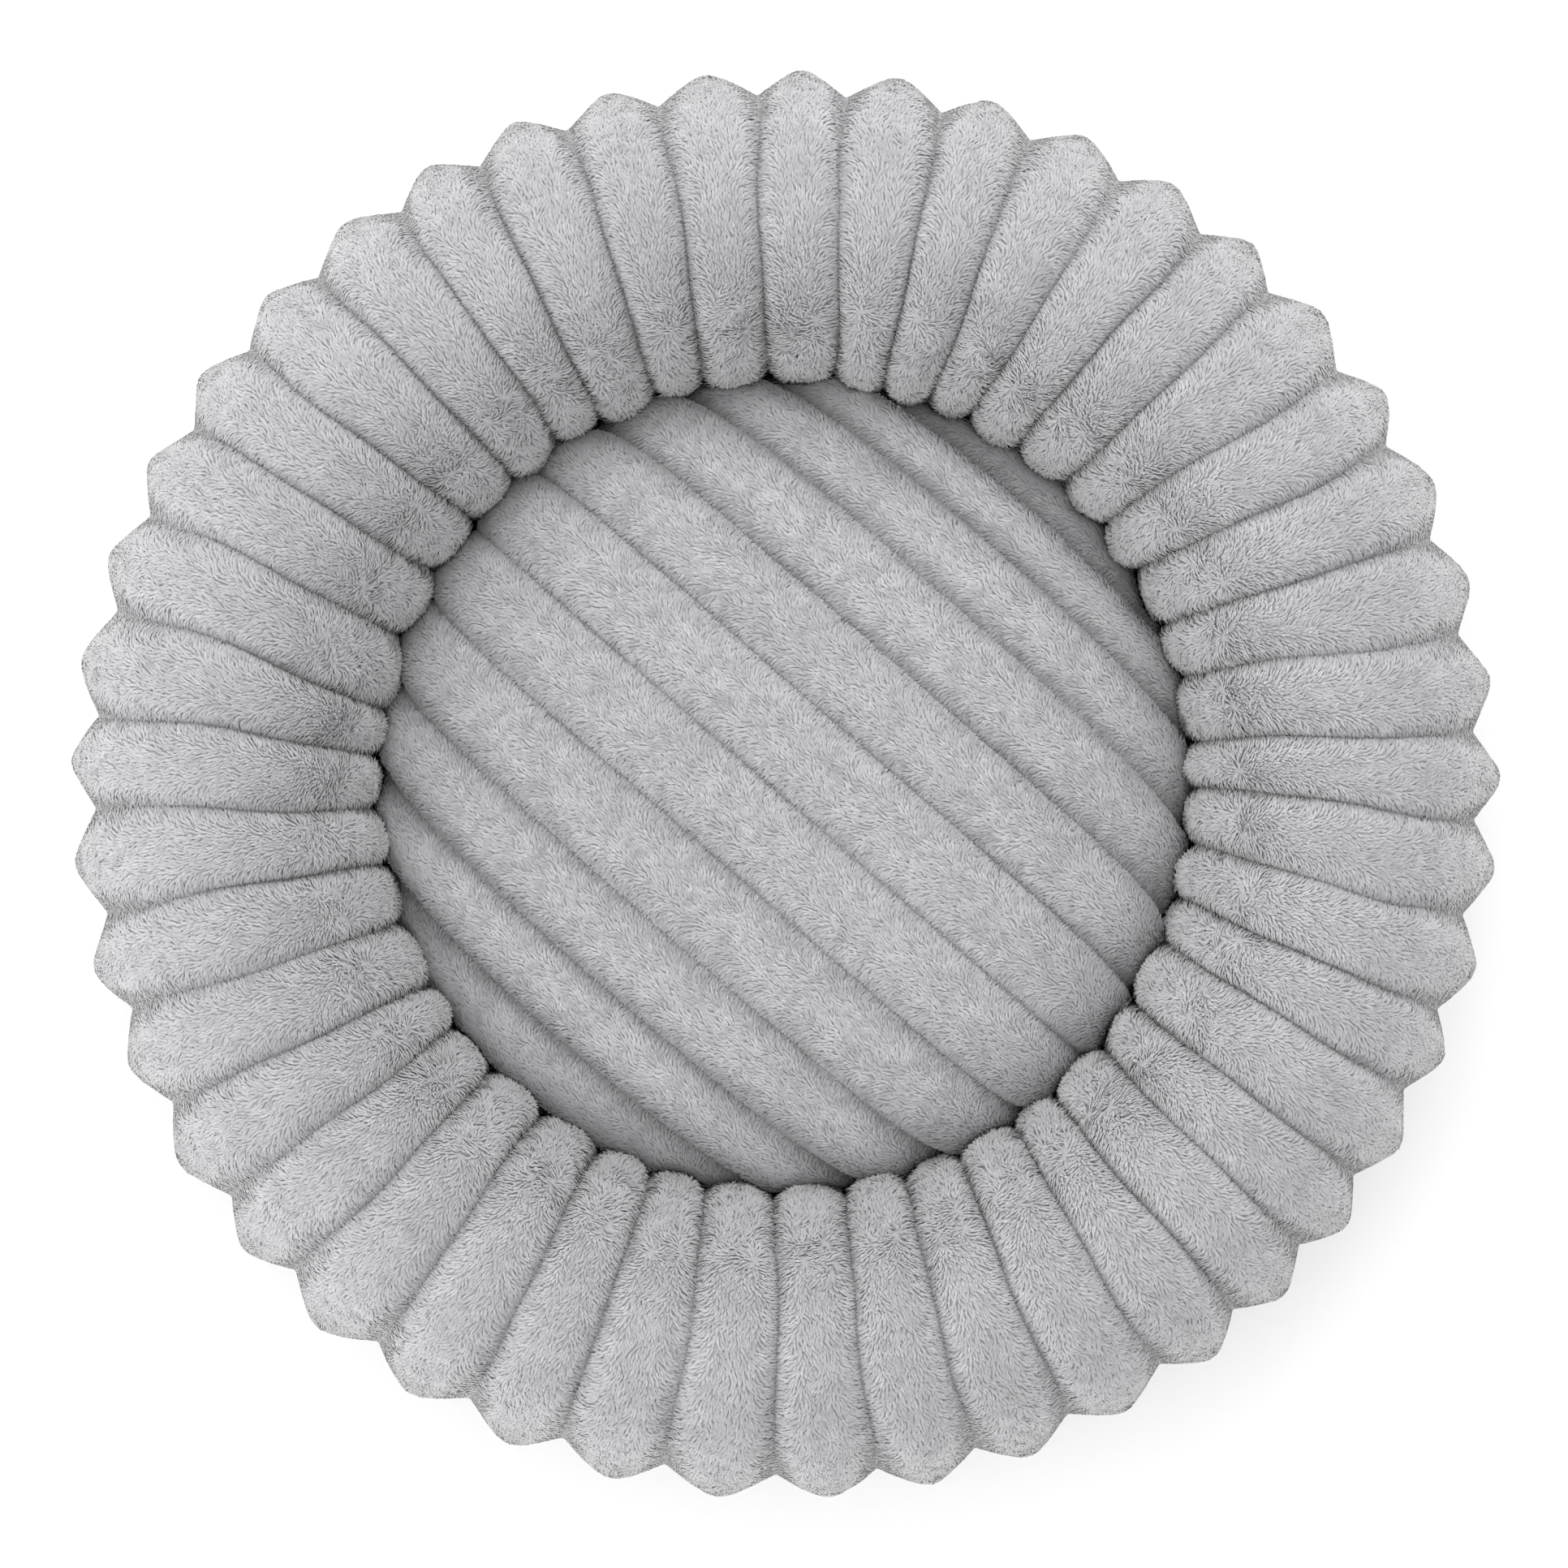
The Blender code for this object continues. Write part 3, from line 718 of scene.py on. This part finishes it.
def tufts(name, root, normal, lie, length, width, tone, finish):
    """One mesh of leaf-shaped locks, two faces each, rooted in the skin, laid along lie and bent down."""
    beside = np.cross(normal, unit(lie))
    base = root - normal * ROOT_DEPTH
    middle = base + lie * (length * 0.5)[:, None] + normal * MIDDLE_LIFT
    points = np.empty((len(root), 4, 3))
    points[:, 0] = base
    points[:, 1] = middle - beside * (width / 2)[:, None]
    points[:, 2] = middle + beside * (width / 2)[:, None]
    points[:, 3] = base + lie * length[:, None] - normal * (length * TIP_DROP)[:, None]
    shading = np.empty((len(root), 4, 3))
    shading[:, 0] = normal
    shading[:, 1] = unit(normal - beside * EDGE_TURN)
    shading[:, 2] = unit(normal + beside * EDGE_TURN)
    shading[:, 3] = unit(normal + lie * 0.30)
    faces = np.arange(len(root))[:, None, None] * 4 + np.array([[0, 1, 3], [0, 3, 2]])
    mesh = bpy.data.meshes.new(name)
    mesh.vertices.add(len(root) * 4)
    mesh.loops.add(len(root) * 6)
    mesh.polygons.add(len(root) * 2)
    mesh.vertices.foreach_set("co", points.astype(np.float32).ravel())
    mesh.loops.foreach_set("vertex_index", faces.astype(np.int32).ravel())
    mesh.polygons.foreach_set("loop_start", np.arange(0, len(root) * 6, 3, dtype=np.int32))
    mesh.polygons.foreach_set("loop_total", np.full(len(root) * 2, 3, np.int32))
    mesh.update()
    held = mesh.attributes.new("custom_normal", "FLOAT_VECTOR", "POINT")
    held.data.foreach_set("vector", shading.astype(np.float32).ravel())
    write_values(mesh, "tone", np.repeat(tone, 4))
    write_values(mesh, "tip", np.tile([0.0, 0.30, 0.30, 1.0], len(root)))
    mesh.shade_smooth()
    mesh.materials.append(finish)
    made = bpy.data.objects.new(name, mesh)
    scene.collection.objects.link(made)
    return made


plush, plush_shader = new_material("grey plush pile")
tone = node(plush, "ShaderNodeAttribute", attribute_name="tone")
tip = node(plush, "ShaderNodeAttribute", attribute_name="tip")
mixed_tone = node(plush, "ShaderNodeMath", operation="MULTIPLY_ADD")
mixed_tone.inputs[1].default_value = 0.30
mixed_tip = node(plush, "ShaderNodeMath", operation="MULTIPLY_ADD")
mixed_tip.inputs[1].default_value = 0.34
join(plush, noise_in(plush, 38.0, 2.0), mixed_tone.inputs[0])
join(plush, tone.outputs["Fac"], mixed_tone.inputs[2])
# Each lock is painted lighter from its root to its tip: painted shade at the roots, where the pile shades
# itself.
join(plush, tip.outputs["Fac"], mixed_tip.inputs[0])
join(plush, mixed_tone.outputs["Value"], mixed_tip.inputs[2])
toned(plush, plush_shader, mixed_tip.outputs["Value"], (0.335, 0.330, 0.342), (0.72, 0.711, 0.728))
plush_shader.inputs["Roughness"].default_value = 0.85
plush_shader.inputs["Specular IOR Level"].default_value = 0.15
plush_shader.inputs["Sheen Weight"].default_value = 0.55
plush_shader.inputs["Sheen Roughness"].default_value = 0.45


LOCK_WIDTH = 0.00125
TURN_IN = np.radians(84.0)              # how far the pile turns towards a seam beside it
WIDE_SWAY, LOCK_SWAY, FINE_SWAY, STRAY = np.radians([20.0, 36.0, 24.0, 6.0])
HATCHING = 0.0016                       # length of one light and dark step along a seam


def brush(found, along, length, unruly):
    """Lie, length, width and tone of each tuft; unruly is how unevenly the pile stands up."""
    root, normal, dice = found["root"], found["normal"], found["dice"]
    count = len(root)
    along = unit(along - normal * np.sum(along * normal, axis=1)[:, None])
    beside = np.cross(normal, along)
    side = np.sign(np.sum(beside * found["to_side"], axis=1)) * np.sign(found["side"])
    near_seam = smooth_step(0.66, 0.92, found["across"]) * (1.0 - 0.75 * found["fringe"])
    loose = 1.0 - 0.8 * near_seam + 0.35 * found["fringe"]
    angle = side * TURN_IN * smooth_step(0.25, 0.85, found["across"])
    angle += loose * WIDE_SWAY * drift(root, 0.016, 3) + loose * LOCK_SWAY * drift(root, 0.0042, 5)
    angle += loose * FINE_SWAY * drift(root, 0.0022, 6) + STRAY * dice.normal(size=count)
    still = 1.0 - np.abs(found["flow"])
    flat = along * (found["flow"] * np.cos(angle) + 0.8 * still * drift(root, 0.0065, 8))[:, None]
    flat += beside * (np.sin(angle) + 0.8 * still * drift(root, 0.0065, 9))[:, None]
    clump = drift(root, 0.0038, 7)
    raised = 0.29 + (loose - 0.5 * still) * unruly * clump + 0.04 * dice.normal(size=count)
    raised = raised + 0.20 * near_seam + found["fringe"] * (0.16 + 0.16 * clump + 0.20 * dice.random(count))
    raised = np.clip(raised, 0.20, 0.8) * (1.0 - 0.5 * found["hanging"])
    lie = unit(flat) * np.cos(raised)[:, None] + normal * np.sin(raised)[:, None]
    length = length * (1.0 - 0.15 * near_seam) * dice.uniform(0.72, 1.15, count)
    width = LOCK_WIDTH * dice.uniform(0.75, 1.2, count)
    tone = 0.28 + 0.22 * dice.random(count) + 0.17 * drift(root, 0.0030, 11) + 0.11 * clump
    # The fingertips round the well and the pile by the seams are painted lighter: painted light against the
    # shade that falls there.
    tone += 0.05 * still + 0.09 * found["fringe"] + 0.10 * near_seam
    tone += 0.24 * near_seam * np.sin(2 * math.pi * found["along"] / HATCHING)
    return lie, length, width, tone


bolster_lean = read_values(bolster.data, "lean")
bolster_height = read_points(bolster.data)[:, 2]
BOLSTER_LOCKS = 900000.0                # on a square metre
BOLSTER_LOCK_LENGTH = 0.0041
thick = np.where(bolster_height > FOOT_HEIGHT + 0.002, BOLSTER_LOCKS, 0.0)
above_foot = smooth_step(-38.0, -12.0, bolster_lean)
deep_in_well = smooth_step(195.0, 215.0, bolster_lean)
thick *= 0.55 + 0.45 * above_foot * (1.0 - deep_in_well)
found = scatter(bolster, thick, 9)
root = found["root"]
outwards = np.hypot(root[:, 0], root[:, 1])
radial = np.stack([root[:, 0] / outwards, root[:, 1] / outwards, np.zeros(len(root))], axis=1)
lean = np.radians(found["lean"])
over = radial * np.sin(lean)[:, None]
over[:, 2] = -np.cos(lean)
found["to_side"] = np.stack([-radial[:, 1], radial[:, 0], np.zeros(len(root))], axis=1)
parting = 136.0 + 12.0 * drift(root, 0.03, 21)      # the lean where the pile parts, in degrees
found["flow"] = np.cos(math.pi * smooth_step(parting - 38.0, parting + 38.0, found["lean"]))
found["fringe"] = smooth_step(122.0, 158.0, found["lean"])
METRES_PER_DEGREE = 0.00143             # along the bolster's section
found["along"] = found["lean"] * METRES_PER_DEGREE
rim = smooth_step(-25.0, 5.0, found["lean"]) * (1.0 - smooth_step(20.0, 62.0, found["lean"]))
found["hanging"] = rim
longer = 1.0 + 0.2 * found["fringe"]
lie, length, width, shade = brush(found, over, BOLSTER_LOCK_LENGTH * longer, 0.12)
shade -= (0.22 + 0.4 * rim) * (shade - 0.40)
# Painted light: the ring's outer half is painted lighter, and its rim lighter still, most by its seams, a
# painted highlight on the rim.
shade += 0.06 * (found["lean"] < 62.0) + rim * (0.13 + 0.25 * smooth_step(0.6, 1.0, found["across"]))
SECTORS = 8
sector = np.floor((np.arctan2(root[:, 1], root[:, 0]) / (2 * math.pi) % 1.0) * SECTORS).astype(int)
for number in range(SECTORS):
    here = sector == number
    pile = tufts(
        f"bolster_pile_{number + 1}", root[here], found["normal"][here], lie[here], length[here],
        width[here], shade[here], plush,
    )
    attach(pile, "bed")


# --------------------------------------------------
# The cushion's top cover: the same plush, sewn in parallel channels 37 mm wide across a round
# panel, domed by the fibre under it and gathered down to the hem above its gusset.

RIB_TURN = math.radians(-41.0)          # the way the channels run
RIB_ALONG = np.array([math.cos(RIB_TURN), math.sin(RIB_TURN), 0.0])
RIB_ASIDE = np.array([-math.sin(RIB_TURN), math.cos(RIB_TURN), 0.0])
CUSHION_RADIUS = 0.1775                 # pressed against the bolster's fingers
CUSHION_CROWN = 0.128
CUSHION_WIDEST_HEIGHT = 0.076
HEM_RADIUS = 0.150
HEM_HEIGHT = 0.0290
RIB_COLUMNS = 8                         # faces across one channel
RIB_LENGTHS = 84                        # faces along it
CUSHION_SEAM = 0.0082                   # depth of the seams
SAG = 0.42                              # how far the channels sag outwards, down the dome
PRESS_GAP = 0.0012                      # between the cushion's cloth and the fingers' pile


def dome_curve(power):
    """(arc length, radius, height) down the dome from its crown to its hem."""
    lean = np.radians(np.linspace(90.0, 0.0, 160))
    radius = (CUSHION_RADIUS - PILE_ROOM) * np.cos(lean) ** (2.0 / power)
    rise = CUSHION_CROWN - PILE_ROOM - CUSHION_WIDEST_HEIGHT
    height = CUSHION_WIDEST_HEIGHT + rise * np.sin(lean)
    under = np.linspace(0.0, 1.0, 20)[1:]
    radius = np.append(radius, radius[-1] + (HEM_RADIUS - radius[-1]) * under**2)
    height = np.append(height, CUSHION_WIDEST_HEIGHT + (HEM_HEIGHT - CUSHION_WIDEST_HEIGHT) * under)
    length = np.append(0.0, np.cumsum(np.hypot(np.diff(radius), np.diff(height))))
    return length, radius, height


round_curve = dome_curve(3.3)
full_curve = dome_curve(4.6)
REACH = round_curve[0][-1]              # along the cloth, from the crown to the hem

# How far each seam lies from the crown as seen from above, and the same along the cloth.
SEAM_OFFSETS = [-0.1426, -0.1123, -0.0782, -0.0409, -0.0043, 0.0323, 0.0669, 0.1017, 0.1317, 0.1550]
RIB_PITCH = 0.0373
over_length, over_radius = round_curve[0][:160], round_curve[1][:160]
reached = [math.copysign(np.interp(abs(o), over_radius, over_length), o) for o in SEAM_OFFSETS]
rib_seams = [reached[0] - 2 * RIB_PITCH, reached[0] - RIB_PITCH, *reached]
rib_seams += [reached[-1] + RIB_PITCH, reached[-1] + 2 * RIB_PITCH]
lines = []
marks = []
for low, high in zip(rib_seams[:-1], rib_seams[1:]):
    for step in range(RIB_COLUMNS):
        line = low + (high - low) * step / RIB_COLUMNS
        if abs(line) < REACH - 0.002:
            lines.append(line)
            marks.append(step / RIB_COLUMNS * 2.0 - 1.0)
lines = np.array([-REACH, *lines, REACH])
marks = np.array([marks[0], *marks, marks[-1]])


def cushion_points(inset):
    """The cover's points as (line, place along it, xyz)."""
    bunched = 0.82                      # the points stand closer together towards the ends
    place = np.sin(np.linspace(-1.0, 1.0, RIB_LENGTHS + 1) * math.pi / 2 * bunched)
    place = place / math.sin(math.pi / 2 * bunched)
    held = np.minimum(np.abs(lines), REACH * 0.985)
    half = np.sqrt(REACH**2 - held**2)
    u = half[:, None] * place[None, :]
    s = np.sign(lines)[:, None] * held[:, None] * np.ones_like(u)
    end = np.abs(lines) >= REACH * 0.999
    s[end] = np.sign(s[end]) * np.sqrt(REACH**2 - u[end] ** 2)
    reach = np.hypot(u, s)
    lengthways = np.where(reach > 1e-9, (u / np.maximum(reach, 1e-9)) ** 2, 1.0)
    lengthways = smooth_step(0.35, 0.95, lengthways)
    share = reach / REACH
    radius = 0.0
    height = 0.0
    for weight, (length, radii, heights) in ((1.0 - lengthways, round_curve), (lengthways, full_curve)):
        radius = radius + weight * np.interp(share * length[-1], length, radii)
        height = height + weight * np.interp(share * length[-1], length, heights)
    flat = u[..., None] * RIB_ALONG[:2] + s[..., None] * RIB_ASIDE[:2]
    flat = flat / np.maximum(reach, 1e-9)[..., None]
    points = np.concatenate([flat * radius[..., None], height[..., None]], axis=2)
    rows = np.gradient(points, axis=0)
    columns = np.gradient(points, axis=1)
    normal = np.cross(columns, rows)
    normal /= np.maximum(np.linalg.norm(normal, axis=2), 1e-12)[..., None]
    sag = np.clip(lines / 0.09, -1.0, 1.0)
    outwards = (marks - SAG * sag * (1.0 - marks**2)) * np.sign(lines)
    slope = puffed_shape(outwards, 1.5)
    shape = puffed_shape(outwards, 2.6)
    shape = np.where(outwards < 0, shape + (slope - shape) * np.abs(sag), shape)[:, None]
    to_hem = 1.0 - smooth_step(0.90, 1.0, share)
    sunk = inset + CUSHION_SEAM * (1.0 - shape) * to_hem
    return points - normal * sunk[..., None]


def keep_in_well(points, clearance):
    """Press the points in where the bolster's fingers push against the cushion."""
    radius = np.hypot(points[:, 0], points[:, 1])
    around = np.arctan2(points[:, 1], points[:, 0]) % (2 * math.pi)
    seams = np.sort(seam_angles(180.0) % (2 * math.pi))
    edges = np.concatenate([seams[-1:] - 2 * math.pi, seams, seams[:1] + 2 * math.pi])
    channel = np.searchsorted(edges, around, side="right") - 1
    across = (around - edges[channel]) / (edges[channel + 1] - edges[channel]) * 2.0 - 1.0
    sunk = PILE_ROOM + WELL_SEAM * (1.0 - puffed_shape(across, 3.0))
    rise = points[:, 2] - WIDEST_HEIGHT
    lean = 180.0 - np.degrees(np.arcsin(np.clip(rise / np.where(rise > 0, TUBE_RISE, TUBE_DROP), -1, 1)))
    room = section(lean, sunk)[0] - clearance
    share = np.minimum(1.0, room / np.maximum(radius, 1e-9))
    pressed = points.copy()
    pressed[:, :2] *= np.where(points[:, 2] < 0.13, share, 1.0)[:, None]
    return pressed


def cushion_skin(name, inset):
    """A grid shaped to the cushion's dome, with a line of points on every seam."""
    bpy.ops.mesh.primitive_grid_add(x_subdivisions=RIB_LENGTHS, y_subdivisions=len(lines) - 1, size=2.0)
    made = bpy.context.object
    made.name = name
    mesh = made.data
    column, row = grid_places(mesh, RIB_LENGTHS, len(lines) - 1)
    write_points(mesh, cushion_points(inset)[row, column])
    write_values(mesh, "across", np.abs(marks)[row])
    write_values(mesh, "side", np.sin(math.pi * marks)[row])
    write_values(mesh, "lean", np.zeros(len(row)))
    return made, row, column


cushion, cushion_row, cushion_column = cushion_skin("cushion_plush", 0.0)
on_seam = np.isin(cushion_row, np.nonzero(np.abs(marks) == 1.0)[0])
on_hem = (cushion_column == 0) | (cushion_column == RIB_LENGTHS) | (np.abs(lines)[cushion_row] == REACH)
inflate(cushion, np.where(on_seam | on_hem, 1.0, 0.0), 0.0018)
lump(cushion, 0.030, 0.0012, 53)
lump(cushion, 0.012, 0.0005, 54)
write_points(cushion.data, keep_in_well(read_points(cushion.data), PRESS_GAP))
subdivide_once(cushion, on_seam)
cushion.data.materials.clear()
cushion.data.materials.append(plush_back)
bpy.ops.object.select_all(action="DESELECT")
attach(cushion, "cushion")
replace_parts(cushion, "cushion_top_cover")


# --------------------------------------------------
# The cushion's pile: the same fur, brushed along the channels towards the bed's far left and
# turned into the seams. It is painted darker on the side of each channel that faces up the dome
# and in the seams, a painted shade, and lighter towards the bolster, painted light.

cushion_height = read_points(cushion.data)[:, 2]
CUSHION_LOCKS = 950000.0                # on a square metre
CUSHION_LOCK_LENGTH = 0.0040
thick = CUSHION_LOCKS * (0.45 + 0.55 * smooth_step(0.045, 0.060, cushion_height))
thick *= smooth_step(HEM_HEIGHT, HEM_HEIGHT + 0.004, cushion_height)
found = scatter(cushion, thick, 31)
root = found["root"]
along = np.tile(-RIB_ALONG, (len(root), 1))
found["to_side"] = np.tile(RIB_ASIDE, (len(root), 1))
found["flow"] = np.ones(len(root))
found["fringe"] = np.zeros(len(root))
found["hanging"] = np.zeros(len(root))
found["along"] = root @ RIB_ALONG
lie, length, width, shade = brush(found, along, CUSHION_LOCK_LENGTH, 0.08)
shade += 0.22 * (shade - 0.44)
# Painted light: the pile is painted lighter towards the bolster, against the bolster's shadow over the
# cushion's edge.
shade += 0.03 + 0.24 * smooth_step(0.130, 0.166, np.hypot(root[:, 0], root[:, 1]))
# Painted shade: the side of each channel that faces up the dome is painted darker, where the neighbouring
# channel shades it, more so further from the crown.
aside = root @ RIB_ASIDE
uphill_shade_mask = smooth_step(0.2, 0.85, found["across"]) * (found["side"] * aside < 0)
shade -= 0.30 * uphill_shade_mask * np.clip(np.abs(aside) / 0.07, 0.0, 1.0)
# Painted shade in the seams.
shade -= 0.14 * smooth_step(0.70, 0.95, found["across"])
for number, here in enumerate((aside > 0.0, aside <= 0.0)):
    pile = tufts(
        f"cushion_pile_{number + 1}", root[here], found["normal"][here], lie[here], length[here],
        width[here], shade[here], plush,
    )
    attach(pile, "cushion")


# --------------------------------------------------
# Inside and under the cushion: the cloth its plush is quilted to, its fibre, a plain woven bottom
# panel and a narrow gusset of the same cloth, sewn to the top with a row of lockstitches.

panel_cloth = woven("bottom panel cloth", (0.30, 0.30, 0.31), (0.44, 0.44, 0.45), 1300.0)
gusset_cloth = woven("gusset cloth", (0.30, 0.30, 0.31), (0.44, 0.44, 0.45), 1300.0, radius=0.15)
finish_node("cushion_bottom_panel", panel_cloth)
finish_node("cushion_gusset", gusset_cloth)


def cushion_layer(name, inset, finish):
    """A layer under the cushion's plush, which follows its channels."""
    layer = cushion_skin(name, inset)[0]
    write_points(layer.data, keep_in_well(read_points(layer.data), PRESS_GAP + inset))
    layer.data.materials.clear()
    layer.data.materials.append(finish)
    layer.data.shade_smooth()
    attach(layer, "cushion")
    return layer


quilted_lining = cushion_layer("cushion_quilt_lining", 0.0034, floor_cloth)
cushion_fibre = cushion_layer("cushion_fibre", 0.0052, fibre)
bpy.ops.object.select_all(action="DESELECT")
cushion_fibre.select_set(True)
bpy.context.view_layer.objects.active = cushion_fibre
bpy.ops.object.mode_set(mode="EDIT")
bpy.ops.mesh.select_all(action="DESELECT")
bpy.ops.mesh.select_mode(type="EDGE")
bpy.ops.mesh.select_non_manifold()
bpy.ops.mesh.extrude_region_move(TRANSFORM_OT_translate={"value": (0.0, 0.0, -0.0148)})
bpy.ops.transform.resize(value=(0.96, 0.96, 1.0), center_override=(0.0, 0.0, 0.014))
bpy.ops.mesh.edge_face_add()
bpy.ops.mesh.select_mode(type="VERT")
bpy.ops.object.mode_set(mode="OBJECT")
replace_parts(quilted_lining, "cushion_top_lining")
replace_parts(cushion_fibre, "cushion_filling")
stitch_row(
    "gusset_stitches", 0.15010, 0.0272, math.radians(188.8), math.radians(252.4), 0.0036, "cushion",
)


# --------------------------------------------------
# The cushion's zip: two woven tapes, a nylon coil sewn along the edge of each, and a stop at
# each end. The coils are drawn wire, wound so that the loops of one close between the other's.

tape_cloth = woven("zip tape", (0.27, 0.27, 0.28), (0.38, 0.38, 0.39), 2200.0, radius=0.1502, roughness=0.75)
finish_node("zip_tape_upper", tape_cloth)
finish_node("zip_tape_lower", tape_cloth)


def roughened(material, shader, value, low, high):
    """Vary the shader's roughness between two values by a texture's value."""
    spread = node(material, "ShaderNodeMapRange")
    spread.inputs["To Min"].default_value = low
    spread.inputs["To Max"].default_value = high
    join(material, value, spread.inputs["Value"])
    join(material, spread.outputs["Result"], shader.inputs["Roughness"])


nylon, nylon_shader = new_material("moulded nylon")
nylon_noise = noise_in(nylon, 700.0, 3.0)
toned(nylon, nylon_shader, nylon_noise, (0.34, 0.34, 0.35), (0.43, 0.43, 0.44))
roughened(nylon, nylon_shader, nylon_noise, 0.28, 0.42)

ZIP_RADIUS = 0.15005
ZIP_HEIGHT = 0.0225
ZIP_START = math.radians(82.0)
ZIP_SWEEP = math.radians(106.0)
COIL_PITCH = 0.00135


def zip_coil(name, side, shift):
    """Nylon wire wound into a coil round the cushion's side; side is 1 above, -1 below."""
    turns = int(ZIP_SWEEP * ZIP_RADIUS / COIL_PITCH) - 3
    phase = np.arange(turns * 8 + 1) / 8.0
    around = ZIP_START + (phase + 1.6 + shift) * COIL_PITCH / ZIP_RADIUS
    wind = phase * 2 * math.pi
    radius = ZIP_RADIUS + 0.00062 * np.sin(wind)
    height = ZIP_HEIGHT + side * (0.00085 + 0.00110 * np.cos(wind))
    centre = np.stack([radius * np.cos(around), radius * np.sin(around), height], axis=1)
    ahead = unit(np.gradient(centre, axis=0))
    outwards = unit(np.stack([np.cos(around), np.sin(around), np.zeros(len(around))], axis=1))
    first = unit(np.cross(ahead, outwards))
    second = np.cross(ahead, first)
    corner = np.arange(4) * math.pi / 2
    ring = first[:, None] * np.cos(corner)[:, None] + second[:, None] * np.sin(corner)[:, None]
    points = (centre[:, None] + ring * 0.00024).reshape(-1, 3)
    here = np.arange(len(centre) - 1)[:, None] * 4
    now, after = here + np.arange(4), here + (np.arange(4) + 1) % 4
    faces = np.stack([now, now + 4, after + 4, after], axis=2).reshape(-1, 4)
    mesh = bpy.data.meshes.new(name)
    last = len(points) - 4
    ends = [[3, 2, 1, 0], [last, last + 1, last + 2, last + 3]]
    mesh.from_pydata(points, [], [*faces.tolist(), *ends])
    made = bpy.data.objects.new(name, mesh)
    scene.collection.objects.link(made)
    bpy.ops.object.select_all(action="DESELECT")
    made.select_set(True)
    bpy.context.view_layer.objects.active = made
    bpy.ops.object.mode_set(mode="EDIT")
    bpy.ops.mesh.select_all(action="SELECT")
    bpy.ops.mesh.normals_make_consistent(inside=False)
    bpy.ops.object.mode_set(mode="OBJECT")
    mesh.shade_smooth()
    mesh.materials.append(nylon)
    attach(made, "cushion")
    return made


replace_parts(zip_coil("coil_above", 1.0, 0.0), "zip_coil_upper")
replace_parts(zip_coil("coil_below", -1.0, 0.5), "zip_coil_lower")
finish_node("zip_stop_closed", nylon)
finish_node("zip_stop_open", nylon)


# --------------------------------------------------
# The zip's slider and its puller: die-cast zinc with a satin nickel plating, worn a little
# brighter and smoother in patches where fingers rub it.

nickel, nickel_shader = new_material("satin nickel")
nickel_wear = noise_in(nickel, 240.0, 4.0)
toned(nickel, nickel_shader, nickel_wear, (0.52, 0.51, 0.50), (0.70, 0.69, 0.67))
roughened(nickel, nickel_shader, nickel_wear, 0.26, 0.44)
bumped(nickel, nickel_shader, noise_in(nickel, 2600.0, 2.0), 0.25, 0.00004)
nickel_shader.inputs["Metallic"].default_value = 1.0
finish_node("zip_slider", nickel)
finish_node("zip_puller", nickel)


# --------------------------------------------------
# The finished bed's size: the bounds of all that is shown.

low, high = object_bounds()
